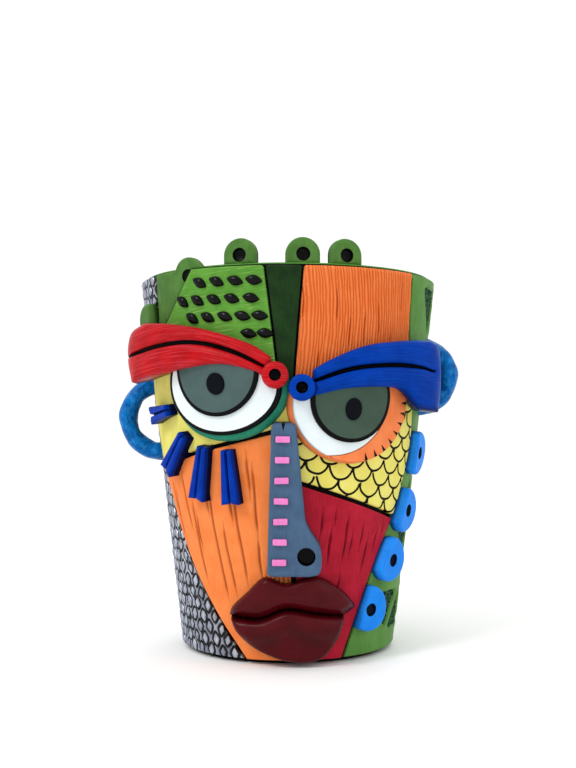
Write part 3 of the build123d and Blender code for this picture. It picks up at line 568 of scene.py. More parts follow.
def potCore():
    height, recess, drain = pot["height"], pot["recess"], pot["drain"]
    floorTop, foot, opening = recess + pot["floor"], pot["base"] - pot["footRing"], pot["rim"] - pot["wall"]
    band = height - pot["rimBand"]
    profile = [(drain, recess), (foot, recess), (foot, 0), (pot["base"] - pot["footBevel"], 0),
               (wallRadius(pot["footBevel"]), pot["footBevel"]), (wallRadius(band), band), (pot["rim"], height),
               (opening, height), (opening - pot["draft"], band), (wallRadius(floorTop) - pot["wall"], floorTop),
               (drain, floorTop), (drain, recess)]
    profile = roundCorners(profile, pot["corner"])
    grout, green, bare = range(3)
    finishes = []
    for (r1, z1), (r2, z2) in zip(profile, profile[1:]):
        middle, level = (r1 + r2) / 2, (z1 + z2) / 2
        if level < recess + 0.2 and middle < pot["base"] - 4:
            finishes.append(bare)
        else:
            # the outer wall shows only as dark grout between the tiles
            finishes.append(grout if middle > wallRadius(level) - 3.5 and level < height - 1.0 else green)
    addPiece("pot_core", "resin_side_green", "groutBlack potGreen bareResin", revolve(profile, finishes))


plug = {"play": 0.08, "seat": 0.2, "hollow": 0.9, "foot": 4.0, "flange": 10.5, "thick": 2.0, "above": 1.5,
        "bevel": 1, "corner": 0.5}


def drainPlug():
    seat, bevel = pot["recess"] - plug["seat"], plug["bevel"]
    stem, top = pot["drain"] - plug["play"], pot["recess"] + pot["floor"] + plug["above"]
    hollow, under = seat - plug["hollow"], seat - plug["thick"]
    profile = [(0, hollow), (plug["foot"], hollow), (plug["foot"], under), (plug["flange"], under),
               (plug["flange"], seat), (stem, seat), (stem, top - bevel), (stem - bevel, top), (0, top)]
    profile = roundCorners(profile, plug["corner"])
    addPiece("drain_plug", "plug_rubber", "plugRubber", revolve(profile, [0] * (len(profile) - 1), 72), body="plug")


# the mask's layout on the unrolled wall: each line in azimuths and shares of the pot's height
mask = {
    "left": ((-34, 1.01), (-48, 0.893), (-63, 0.80), (-73, 0.70), (-71.5, 0.545), (-62.5, 0.405), (-52, 0.27),
             (-38, 0.14), (-19, 0.0)),
    "right": ((51, 1.01), (53, 0.84), (60, 0.70), (64, 0.56), (57, 0.405), (43.5, 0.253), (26.5, 0.0)),
    "browLeft": ((-80, 0.80), (4, 0.70)), "browRight": ((-4, 0.68), (72, 0.72)),
    "cheekLeft": ((-80, 0.475), (4, 0.60)), "cheekRight": ((-4, 0.475), (72, 0.33)),
    "chin": ((1.5, 0.70), (3, 0.0)),
    "wedgeLeft": ((-8, 1.01), (-2.2, 0.66)), "wedgeRight": ((5, 1.01), (1.2, 0.66)),
    "backing": ((-57, 1.01), (-59, 0.84)),
    "seam": 2.0, "foot": 2.2, "corner": 1.2, "softEdge": 0.9, "overlap": 8,
}
maskTop = pot["height"] - pot["rimBevel"]


def edgeCurve(side, grow=0.0):
    line = curve([unrolled(*p) for p in mask[side]], 0.4)
    line[:, 0] += signs[side] * grow * around / wallRadius(line[:, 1])
    return line


def edgeAt(side, z, grow=0.0):
    line = edgeCurve(side, grow)
    return np.interp(z, line[::-1, 1], line[::-1, 0])


def halfMask(side):
    line = edgeCurve(side)
    line = line[(line[:, 1] < maskTop) & (line[:, 1] > mask["foot"])]
    ends = [(edgeAt(side, maskTop), maskTop), *line, (edgeAt(side, mask["foot"]), mask["foot"])]
    past = -signs[side] * math.radians(mask["overlap"]) * around
    return np.array(ends + [(past, mask["foot"]), (past, maskTop)])


def seamLine(name, sideways=0.0, up=0.0):
    half = mask["seam"] / 2
    out = []
    for azimuth, share in mask[name]:
        point = unrolled(azimuth, share)
        out.append(point + np.array((sideways * half * around / wallRadius(point[1]), up * half)))
    return out


def clipped(polygon, line, keep):
    # keep is "up", "down", "left" or "right" of the seam
    a, b = sorted(line, key=lambda point: point[0 if keep in ("up", "down") else 1])
    return clip(polygon, a, b) if keep in ("up", "left") else clip(polygon, b, a)


def panelOutline(name):
    part, side = name.split("_")
    shape = counter(halfMask(side))
    sign = signs[side]
    title = side.capitalize()
    if part == "forehead":
        shape = clipped(shape, seamLine("brow" + title, 0, 1), "up")
        shape = clipped(shape, seamLine("wedge" + title, sign, 0), side)
    else:
        shape = clipped(shape, seamLine("chin", sign, 0), side)
        shape = clipped(shape, seamLine("brow" + title, 0, -1), "down")
        shape = clipped(shape, seamLine("cheek" + title, 0, 1 if part == "temple" else -1),
                        "up" if part == "temple" else "down")
    return rounded(shape, mask["corner"], 0.55)


def unevenness(size, depth, seed):
    def relief(flat, gap):
        return {"stand": depth * waves(flat, size, seed) * smooth(gap / 3)}

    return relief


def scored(lines, width, depth, wash, seed, painted=None, taper=None):
    # grooves pressed in the clay along lines, which thin out over the taper's length at their ends;
    # painted gives the half width of a black line on them
    tree, toEnd = treeWithEnds(lines)
    thinnest = 0.3

    def relief(flat, gap):
        d = nearest(flat, tree)
        full = 1.0
        if taper:
            full = thinnest + (1 - thinnest) * smooth(toEnd[nearestIndex(flat, tree)] / taper)
        # darker paint in each groove, partly wash and partly painted shade
        out = {"stand": -depth * full * smooth(1 - d / (width * full)) + 0.12 * waves(flat, 14, seed),
               "wash": wash * full * smooth(1.15 - d / (0.8 * width * full))}
        if painted:
            out["ink"] = d - painted
        return out

    return relief, rowsAlong(lines, (-width, -0.5 * width, 0.0, 0.5 * width, width), 0.8)


# combed slip on the forehead: fine valleys that fan out and sway together
comb = {"pitch": 1.32, "depth": 0.55, "sway": 2.6, "fan": 0.10, "wobble": 0.16, "past": 6, "seed": 11,
        "deepEvery": 5, "deepPoints": 12, "deepFade": 5.0, "deepSeed": 5}


def combLines(outline):
    rng = np.random.default_rng(comb["seed"])
    low, high = outline.min(0), outline.max(0)
    middle = (low[0] + high[0]) / 2
    lines = []
    u = low[0] - comb["past"]
    while u < high[0] + comb["past"]:
        zs = np.arange(low[1] - 1, high[1] + 2, 1.5)
        t = (zs - low[1]) / (high[1] - low[1])
        fan = 1 + comb["fan"] * (t - 0.5)
        bend = comb["sway"] * np.sin(2.6 * t + 0.03 * (u - middle) + 0.4)
        wobble = comb["wobble"] * np.sin(zs * rng.uniform(0.25, 0.5) + rng.uniform(0, 6))
        lines.append(np.stack([middle + (u - middle) * fan + bend + wobble, zs], 1))
        u += comb["pitch"] * rng.uniform(0.72, 1.3)
    return lines


def foreheadRight():
    outline = panelOutline("forehead_right")
    lines = combLines(outline)
    tree = treeOfLines(lines)
    half = comb["pitch"] / 2
    # here and there the comb went deeper for a while
    rng = np.random.default_rng(comb["deepSeed"])
    some, count = lines[::comb["deepEvery"]], comb["deepPoints"]
    starts = [int(rng.integers(2, len(line) - count - 1)) for line in some]
    deep, toEnd = treeWithEnds([line[k:k + count] for line, k in zip(some, starts)])

    def relief(flat, gap):
        d = nearest(flat, tree)
        strong = smooth(1.3 - nearest(flat, deep) / 0.5) * smooth(toEnd[nearestIndex(flat, deep)] / comb["deepFade"])
        # darker paint in the valleys, partly wash and partly painted shade
        return {"stand": -comb["depth"] * (1 + 0.6 * strong) * smooth(1.1 - d / half) + 0.15 * waves(flat, 18, 4),
                "wash": np.clip(0.6 * smooth(1.0 - d / (0.7 * half)) + 0.6 * strong * smooth(1 - d / 0.5), 0, 1)}

    crests = [(a + b) / 2 for a, b in zip(lines, lines[1:])]
    rows = np.vstack([stepped(line, 1.2) for line in lines + crests])
    part = wallTile(outline, "panel", 2.4, mask["softEdge"], rows, relief)
    addPiece("forehead_panel_right", "resin_orange", "combOrange", part)


def foreheadLeft():
    outline = panelOutline("forehead_left")

    def strokes(flat):
        # the brush went across, a little uphill
        return np.stack([flat[:, 0], flat[:, 1] - 0.12 * flat[:, 0]], 1)

    part = wallTile(outline, "panel", 1.0, mask["softEdge"], relief=unevenness(16, 0.14, 21), strokes=strokes)
    addPiece("forehead_panel_left", "resin_leaf_green", "foreheadGreen", part)


def foreheadWedge():
    a, b = (unrolled(*p) for p in mask["wedgeLeft"])
    c, d = (unrolled(*p) for p in mask["wedgeRight"])
    shape = counter(np.array([a, b, d, c]))
    shape = clip(shape, (100, maskTop), (-100, maskTop))
    for name in ("browLeft", "browRight"):
        shape = clipped(shape, seamLine(name, 0, 1), "up")
    outline = rounded(shape, 1.0, 0.5)
    part = wallTile(outline, "panel", 0.9, 0.8, relief=unevenness(9, 0.12, 8))
    addPiece("forehead_wedge", "resin_leaf_green", "wedgeGreen", part)


# pointed oval beads in rows that fan out over the green forehead
beads = {"length": 8.0, "width": 4.4, "height": 2.0, "dome": 0.75, "lean": 0.9,
         "rows": ((0.955, (-32.5, -25.5, -18.5, -11.8)), (0.912, (-41, -34, -27, -20, -13)),
                  (0.869, (-37, -30, -23, -16.3, -10.0)), (0.826, (-14.2, -8.2)))}


def beadDome(flat, gap):
    return {"stand": beads["dome"] * smooth(gap / 2.2)}


def foreheadSeeds():
    half, bow = beads["length"] / 2, beads["width"] / 2
    upper = [(-half + 2 * half * t, bow * math.sin(math.pi * t) ** 0.85) for t in np.linspace(0, 1, 15)]
    shape = rounded(np.array(upper + [(x, -y) for x, y in upper[-2:0:-1]])[::-1], 0.5, 0.45)
    front, back = layers["onPanel"] + beads["height"] - beads["dome"], layers["glue"] + 2
    parts = []
    for share, azimuths in beads["rows"]:
        for azimuth in azimuths:
            outline = spun(shape, math.radians(beads["lean"] * azimuth)) + np.array((0, heightAt(share)))
            parts.append(tile(outline, facing(azimuth), front, back, 0.7, 0.9, relief=beadDome))
    addPiece("forehead_seeds", "resin_pupil_black", "beadBlack", *parts)


# overlapping fish scales, drawn in slip and blacked in
scales = {"radius": 5.6, "rowRise": 5.9, "line": 0.52, "tilt": -9.0, "jitter": 0.35, "wobble": 0.12,
          "seed": 31, "arc": (186, 354)}


def fishScales(outline):
    rng = np.random.default_rng(scales["seed"])
    centre, r = outline.mean(0), scales["radius"]
    sweep = np.linspace(*(math.radians(turn) for turn in scales["arc"]), 15)
    box = outline.min(0) - 3, outline.max(0) + 3
    lines = []
    for row in range(-9, 10):
        for col in range(-8, 9):
            middle = np.array(((col + 0.5 * (row % 2)) * 2 * r, row * scales["rowRise"]))
            middle += rng.uniform(-scales["jitter"], scales["jitter"], 2)
            size = r * rng.uniform(0.9, 0.99)
            arc = middle + size * np.stack([np.cos(sweep), 1.05 * np.sin(sweep)], 1)
            arc += scales["wobble"] * np.sin(sweep * 5 + rng.uniform(0, 6))[:, None]
            line = spun(arc, math.radians(scales["tilt"])) + centre
            if np.all(line.mean(0) > box[0]) and np.all(line.mean(0) < box[1]):
                lines.append(line)
    return lines


def temples():
    outline = panelOutline("temple_left")
    part = wallTile(outline, "panel", 1.0, mask["softEdge"], relief=unevenness(14, 0.13, 12))
    addPiece("temple_panel_left", "resin_yellow", "maizeYellow", part)
    outline = panelOutline("temple_right")
    relief, rows = scored(fishScales(outline), 0.75, 0.4, 0.3, painted=scales["line"], seed=13)
    part = wallTile(outline, "panel", 1.0, mask["softEdge"], rows, relief)
    addPiece("temple_panel_right", "resin_yellow", "maizeYellow", part)


# scored cheeks: azimuth and share at the top, then the length in mm and the bend towards the chin
cheekGrooves = {
    "left": ((-61, 0.475, 21, 5), (-58.5, 0.452, 27, 6), (-52, 0.49, 30, 6), (-46, 0.42, 40, 7), (-44, 0.385, 20, 3),
             (-38, 0.475, 19, 2), (-35.5, 0.45, 52, 8), (-29, 0.36, 34, 6), (-26, 0.495, 26, 2), (-23.5, 0.46, 46, 6),
             (-17, 0.54, 22, 1.5), (-14.5, 0.51, 34, 2), (-13, 0.33, 22, 2)),
    "right": ((15, 0.40, 15, -1.5), (19, 0.355, 19, -2), (21, 0.40, 10, -1), (27, 0.385, 24, -3), (29.5, 0.34, 13, -2),
              (35, 0.365, 15, -2), (38, 0.325, 18, -4), (43, 0.345, 12, -2), (24, 0.235, 14, -3), (47, 0.36, 9, -2)),
    "width": 0.9, "depth": 0.7, "taper": 7.0,
}


def cheekLines(side):
    lines = []
    for azimuth, share, length, bend in cheekGrooves[side]:
        top = unrolled(azimuth, share)
        t = np.linspace(0, 1, 12)
        lines.append(np.stack([top[0] + bend * t ** 1.6 + 0.15 * np.sin(9 * t + azimuth), top[1] - length * t], 1))
    return lines


# short close combing between the nose and the lip: the azimuths' range and step
philtrum = {"azimuths": (-9.5, 1.0, 1.9), "share": 0.245, "length": 11.0, "uneven": 1.5}


def philtrumLines():
    lines = []
    for k, azimuth in enumerate(np.arange(*philtrum["azimuths"])):
        top = unrolled(azimuth, philtrum["share"])
        length = philtrum["length"] + philtrum["uneven"] * math.sin(2.1 * k)
        t = np.linspace(0, 1, 8)
        lines.append(np.stack([top[0] + 0.2 * np.sin(5 * t + k), top[1] - length * t], 1))
    return lines


def cheeks():
    for side, paint, slot in (("left", "cheekOrange", "resin_orange"), ("right", "crimson", "resin_crimson")):
        outline = panelOutline("cheek_" + side)
        lines = cheekLines(side) + (philtrumLines() if side == "left" else [])
        relief, rows = scored(lines, cheekGrooves["width"], cheekGrooves["depth"], 0.8, seed=17,
                              taper=cheekGrooves["taper"])
        part = wallTile(outline, "panel", 1.0, mask["softEdge"], rows, relief)
        addPiece("cheek_panel_" + side, slot, paint, part)


def stampDistance(centres, turns, radial, widen):
    # how far outside the nearest stamp's outline each point lies, less than 0 inside
    tree = treeOf(centres)

    def outside(flat):
        index = nearestIndex(flat, tree)
        p = (flat - centres[index]) / np.stack([widen[index], np.ones(len(flat))], 1)
        return np.hypot(*p.T) - radial(np.arctan2(p[:, 1], p[:, 0]) - turns[index], index)

    return outside


def stampRows(centres, turns, radial, widen, offsets, count):
    rows = []
    sweep = np.linspace(0, 2 * math.pi, count, endpoint=False)
    for i, centre in enumerate(centres):
        reach = radial(sweep - turns[i], np.full(count, i))
        ray = np.stack([np.cos(sweep) * widen[i], np.sin(sweep)], 1)
        rows += [centre + (reach + offset)[:, None] * ray for offset in offsets]
    return np.vstack(rows)


def wrapOutline(side):
    grow, foot = mask["seam"], mask["foot"]
    line = edgeCurve(side, grow)
    line = line[(line[:, 1] < maskTop) & (line[:, 1] > foot)]
    back = math.pi * around - grow / 2
    if side == "right":
        shape = [(edgeAt(side, maskTop, grow), maskTop), *line, (edgeAt(side, foot, grow), foot), (back, foot),
                 (back, maskTop)]
    else:
        topCorner, lowCorner = (unrolled(*p) for p in mask["backing"])
        step = lowCorner[1] - grow
        shape = [(-back, maskTop), (-back, foot), (edgeAt(side, foot, grow), foot),
                 *line[::-1][line[::-1][:, 1] < step], (edgeAt(side, step, grow), step), (lowCorner[0] - grow, step),
                 (topCorner[0] - grow, maskTop)]
    return rounded(np.array(shape), 1.0, 0.7)


# lozenge punch marks over the pewter side, each pressed at a slightly different angle
lozenges = {"acrossPitch": 8.2, "upPitch": 5.2, "halfWidth": 2.75, "halfHeight": 3.5, "round": 1.3, "ring": 0.8,
            "depth": 0.85, "line": 0.78, "jitter": 0.45, "twist": 0.28, "sizes": (0.8, 1.02),
            "seed": 41}


def sideWrapLeft():
    outline = wrapOutline("left")
    rng = np.random.default_rng(lozenges["seed"])
    low, high = outline.min(0), outline.max(0)
    centres = []
    for row, v in enumerate(np.arange(low[1] + 2, high[1], lozenges["upPitch"])):
        for u in np.arange(low[0], high[0], lozenges["acrossPitch"]):
            centres.append((u + (row % 2) * lozenges["acrossPitch"] / 2, v))
    centres = np.array(centres) + rng.uniform(-lozenges["jitter"], lozenges["jitter"], (len(centres), 2))
    turns = rng.uniform(-lozenges["twist"], lozenges["twist"], len(centres))
    sizes = rng.uniform(*lozenges["sizes"], len(centres))
    widen = np.ones(len(centres))

    def radial(angle, index):
        n = lozenges["round"]
        across = np.abs(np.cos(angle) / lozenges["halfWidth"]) ** n
        return sizes[index] * (across + np.abs(np.sin(angle) / lozenges["halfHeight"]) ** n) ** (-1 / n)

    outside = stampDistance(centres, turns, radial, widen)

    def relief(flat, gap):
        f = outside(flat)
        valley = smooth(1.35 - np.abs(f) / lozenges["ring"])
        dome = 0.3 * smooth(-f / 2.0)
        cloudy = waves(flat, 11, 43)
        return {"stand": -lozenges["depth"] * valley + dome + 0.14 * cloudy,
                "ink": np.abs(f) - lozenges["line"],
                "wash": np.clip(0.3 * smooth(1.7 - np.abs(f) / lozenges["ring"]) + 0.24 * smooth((f - 0.2) / 0.9)
                                + 0.16 * smooth(cloudy), 0, 1)}

    rows = stampRows(centres, turns, radial, widen, (-0.95, -0.5, 0.0, 0.5, 0.95), 32)
    part = wallTile(outline, "wrap", 1.1, 0.7, rows, relief)
    addPiece("side_wrap_left", "resin_pewter", "pewterWash", part)


# sunken rounded triangles, point up and point down in turn, with a rough dark floor
cells = {"rows": (0.115, 0.275, 0.435, 0.595, 0.755, 0.905), "last": 166.5, "step": 15.5, "columns": 10,
         "inradius": 0.113, "lift": 0.018, "depth": 1.05, "margin": 2.6, "small": 0.6, "tabRoom": 7.9,
         "earRoom": 8.0, "earReach": 0.6, "sharp": 5.5, "sizes": (0.97, 1.04),
         "seed": 51}


def cellAt(azimuth, z, pointsUp, size):
    radius, side = wallRadius(z), 1 if pointsUp else -1
    inradius = size * cells["inradius"] * radius
    middle = z - side * heightAt(cells["lift"])
    turn = math.degrees(math.sqrt(3) * inradius / radius)
    low = middle - side * inradius
    return middle, inradius, [(azimuth - turn, low), (azimuth + turn, low), (azimuth, middle + 2 * side * inradius)]


def cellHasRoom(corners, keepOuts):
    for azimuth, z in corners:
        margin = math.degrees((cells["margin"] + mask["seam"]) / wallRadius(z))
        edge = math.degrees(float(edgeAt("right", z)) / around)
        if azimuth < edge + margin or azimuth > 180 - margin:
            return False
        if not mask["foot"] + cells["margin"] < z < maskTop - cells["margin"]:
            return False
    middle = np.mean(corners, axis=0)
    reach = abs(corners[2][1] - middle[1])
    for azimuth, z, room in keepOuts:
        across = math.radians(azimuth - middle[0]) * wallRadius(z)
        if math.hypot(across, z - middle[1]) < room + cells["earReach"] * reach:
            return False
    return True


def cellSites():
    e = ears["right"]
    keepOuts = [(e["azimuth"], heightAt(e["share"]) + side * e["ring"], cells["earRoom"]) for side in (-1, 1)]
    keepOuts += [(azimuth, heightAt(share), cells["tabRoom"]) for azimuth, share in scallops["jaw"]]
    sites = []
    for row, share in enumerate(cells["rows"]):
        for column in range(cells["columns"]):
            azimuth, pointsUp = cells["last"] - cells["step"] * column, (row + column) % 2 == 0
            for size in (1, cells["small"]):
                middle, inradius, corners = cellAt(azimuth, heightAt(share), pointsUp, size)
                if cellHasRoom(corners, keepOuts):
                    sites.append((azimuth, middle, inradius, pointsUp))
                    break
    return sites


def sideWrapRight():
    outline = wrapOutline("right")
    rng = np.random.default_rng(cells["seed"])
    sites = cellSites()
    print("sunken triangles:", len(sites))
    centres = np.array([(math.radians(azimuth) * around, z) for azimuth, z, _, _ in sites])
    inradii = np.array([site[2] for site in sites]) * rng.uniform(*cells["sizes"], len(sites))
    flips = np.array([0.0 if site[3] else math.pi for site in sites])
    widen = around / wallRadius(centres[:, 1])
    sides = [math.radians(a) for a in (-90, 30, 150)]

    def radial(angle, index):
        k = cells["sharp"]
        total = sum(np.maximum(np.cos(angle - a), 0) ** k for a in sides)
        return inradii[index] * total ** (-1 / k)

    outside = stampDistance(centres, flips, radial, widen)

    def relief(flat, gap):
        f = outside(flat) + 0.22 * waves(flat, 7, 55)
        grit = waves(flat, 1.7, 52) + waves(flat, 2.9, 53)
        inner = smooth((0.5 - f) / 1.0)
        lip = 0.25 * smooth((3.5 - np.abs(f)) / 3) * (1 - inner)
        return {"stand": -cells["depth"] * inner + 0.2 * grit * inner + lip
                + 0.25 * waves(flat, 26, 54) * smooth(gap / 4), "ink": f + 0.15}

    rows = stampRows(centres, flips, radial, widen, (-0.75, -0.3, 0.15, 0.6), 64)
    part = wallTile(outline, "wrap", 1.0, 0.7, rows, relief)
    addPiece("side_wrap_right", "resin_side_green", "wallGreen", part)


def dimple(centre, radius, depth):
    # a round hollow, painted black
    tree = treeOf(np.array([centre]))

    def relief(flat, gap):
        d = nearest(flat, tree)
        return {"stand": -depth * smooth((radius + 0.15 - d) / 0.5) * (1 - 0.25 * np.clip(d / radius, 0, 1) ** 2),
                "ink": d - radius - 0.12}

    return relief, np.vstack([oval(radius + grow, radius + grow, 0.5, centre) for grow in (-0.5, -0.2, 0.08, 0.35)])


# the slab behind the forehead's corner, with its dimpled tab
backing = {"azimuth": -38.0, "share": 0.975, "radius": 8.5, "dimple": 3.0, "depth": 1.4, "thick": 2.8, "rise": 0.3,
           "gap": 0.2}


def templeBacking():
    top, low = (unrolled(*p) for p in mask["backing"])
    centre = unrolled(backing["azimuth"], backing["share"])
    r = backing["radius"] * around / wallRadius(centre[1])
    gap, crest = backing["gap"], maskTop + backing["rise"]
    rise = math.asin((crest - centre[1]) / backing["radius"])
    sweep = np.linspace(math.pi - rise, rise, 40)
    arc = [(centre[0] + r * math.cos(t), centre[1] + backing["radius"] * math.sin(t)) for t in sweep]
    edge = edgeCurve("left", gap)
    edge = [(edgeAt("left", maskTop, gap), crest)] + [tuple(p) for p in edge if low[1] < p[1] < maskTop]
    shape = [(top[0], maskTop), *arc, *edge, (edgeAt("left", low[1], gap), low[1]), (low[0], low[1])]
    outline = rounded(np.array(shape), 0.8, 0.5)
    relief, rows = dimple(centre, backing["dimple"], backing["depth"])
    part = tile(outline, onWall, layers["glue"] + backing["thick"], layers["glue"], 0.8, 1.0, rows, relief)
    addPiece("temple_backing", "resin_leaf_green", "tabGreen", part)


# tabs that stand on the rim; sunk is how far they go into it
rimTabs = {"azimuths": (-18.0, 5.5, 22.0), "radius": 7.6, "rise": 3.8, "dimple": 3.0, "depth": 2.4, "edge": 1.5,
           "inset": 0.8, "sunk": 0.4}


def rimTabPieces():
    r, top = rimTabs["radius"], pot["height"]
    low, outer = top - rimTabs["sunk"], pot["rim"] - rimTabs["inset"]
    bow = pot["rim"] - math.sqrt(pot["rim"] ** 2 - r ** 2)
    inner = pot["rim"] - pot["wall"] + rimTabs["inset"] + bow
    for number, azimuth in enumerate(rimTabs["azimuths"], start=1):
        a = math.radians(azimuth)

        def place(u, v, stand):
            return np.stack([u * math.cos(a) + stand * math.sin(a), u * math.sin(a) - stand * math.cos(a), v], 1)

        arc = [(r * math.cos(t), top + rimTabs["rise"] + r * math.sin(t)) for t in np.linspace(0, math.pi, 40)]
        outline = stepped(np.array([(r, low), *arc, (-r, low)]), 0.45, True)
        relief, rows = dimple((0, top + rimTabs["rise"]), rimTabs["dimple"], rimTabs["depth"])
        part = tile(outline, place, outer, inner, 0.7, rimTabs["edge"], rows, relief)
        addPiece("rim_tab_%d" % number, "resin_leaf_green", "tabGreen", part)


# discs of clay beside the mask, each in azimuth and share of the height
scallops = {"radius": 10.5, "thick": 4.6, "dimple": 2.9, "depth": 2.2, "edge": 1.5, "play": 0.15, "lobe": 0.25,
            "back": -0.2, "clear": 0.5, "front": 3, "temple": (-62.0, 0.865),
            "jaw": ((69.0, 0.53), (62.0, 0.38), (52.5, 0.255), (40.0, 0.135))}


def scallop(azimuth, share, lobes, reachTo):
    # a disc pressed on the wall beside the mask, cut back where reachTo says
    z, r = heightAt(share), scallops["radius"] - scallops["play"]
    sweep = np.linspace(0, 2 * math.pi, 160, endpoint=False)
    reach = r + scallops["lobe"] * np.sin(3 * sweep + lobes)
    shape = np.stack([reach * np.cos(sweep), z + reach * np.sin(sweep)], 1)
    shape = reachTo(shape, math.radians(azimuth) * around)
    outline = rounded(stepped(counter(shape), 1.2, True), 0.9, 0.45)
    seat = leaning(azimuth, z, wallRadius(z) + layers["onWrap"])
    return outline, seat, bentBack(seat, wallRadius(z) + layers["onWrap"])


def scallopPieces():
    clear, front = scallops["clear"], scallops["front"]

    def besideJaw(shape, spot):
        edge = (edgeAt("right", shape[:, 1], clear) - spot) / around
        shape[:, 0] = np.maximum(shape[:, 0], (wallRadius(shape[:, 1]) + front) * np.sin(edge))
        return shape

    for number, (azimuth, share) in enumerate(scallops["jaw"], start=1):
        outline, seat, back = scallop(azimuth, share, number, besideJaw)
        relief, rows = dimple((0, heightAt(share)), scallops["dimple"], scallops["depth"])
        part = tile(outline, seat, scallops["thick"], scallops["back"], 0.7, scallops["edge"], rows, relief,
                    backPlace=back, backStep=3.0)
        addPiece("jaw_tab_%d" % number, "resin_sky_blue", "skyBlue", part)

    backLeft, backLow = unrolled(*mask["backing"][1])
    browTop = heightAt(brows["left"]["low"]) + brows["left"]["height"] + clear

    def besideTemple(shape, spot):
        edge = np.where(shape[:, 1] > backLow - clear, backLeft - clear, edgeAt("left", shape[:, 1], clear))
        shape[:, 0] = np.minimum(shape[:, 0], (wallRadius(shape[:, 1]) + front) * np.sin((edge - spot) / around))
        shape[:, 1] = np.maximum(shape[:, 1], browTop)
        return shape

    outline, seat, back = scallop(*scallops["temple"], 0, besideTemple)
    part = tile(outline, seat, scallops["thick"], scallops["back"], 0.7, scallops["edge"], backPlace=back, backStep=3.0)
    addPiece("temple_tab", "resin_leaf_green", "tabGreen", part)


# each brow's curves, in shares of its length and height
brows = {
    "stand": 11.5, "sweep": 92.0, "backShare": 0.36, "edge": 3.0, "groove": 0.95, "depth": 2.3, "thinEnd": 0.55,
    "dip": 0.8, "crown": 0.9, "sunk": 1.5,
    "left": {"inner": 6.0, "length": 69.0, "height": 27.0, "low": 0.711, "paint": "browRed", "slot": "resin_red",
             "top": ((0.02, 0.37), (0.16, 0.59), (0.45, 0.84), (0.70, 0.96), (0.87, 1.0)),
             "end": ((0.87, 1.0), (0.975, 0.84), (1.0, 0.45), (0.965, 0.0)),
             "lower": ((0.965, 0.0), (0.70, 0.15), (0.384, 0.263), (0.16, 0.16), (0.014, 0.0)),
             "grooveLine": ((0.03, 0.17), (0.26, 0.455), (0.50, 0.62), (0.75, 0.60), (1.05, 0.42)),
             "button": (-5.6, 0.722)},
    "right": {"inner": 5.0, "length": 66.0, "height": 33.0, "low": 0.634, "paint": "browBlue",
              "slot": "resin_blue", "shadow": (0.8, 44, 12, 3.4),
              "top": ((0.09, 0.555), (0.217, 0.70), (0.447, 0.885), (0.733, 0.975), (0.918, 0.994)),
              "end": ((0.918, 0.994), (0.985, 0.88), (1.0, 0.45), (0.975, 0.0)),
              "lower": ((0.975, 0.0), (0.80, 0.06), (0.70, 0.27), (0.60, 0.34), (0.33, 0.31), (0.09, 0.20)),
              "grooveLine": ((0.04, 0.36), (0.33, 0.56), (0.60, 0.63), (0.82, 0.62), (0.935, 0.57)),
              "button": (6.0, 0.692)},
}

# the dimpled button at each brow's inner end
button = {"radius": 5.8, "thick": 11.0, "edge": 1.7, "dimple": 2.5, "depth": 2.6, "sunk": 1.0}


def browCurve(side, key):
    b = brows[side]
    pts = [(signs[side] * (b["inner"] + x * b["length"]), heightAt(b["low"]) + y * b["height"]) for x, y in b[key]]
    return curve(pts, 0.5)


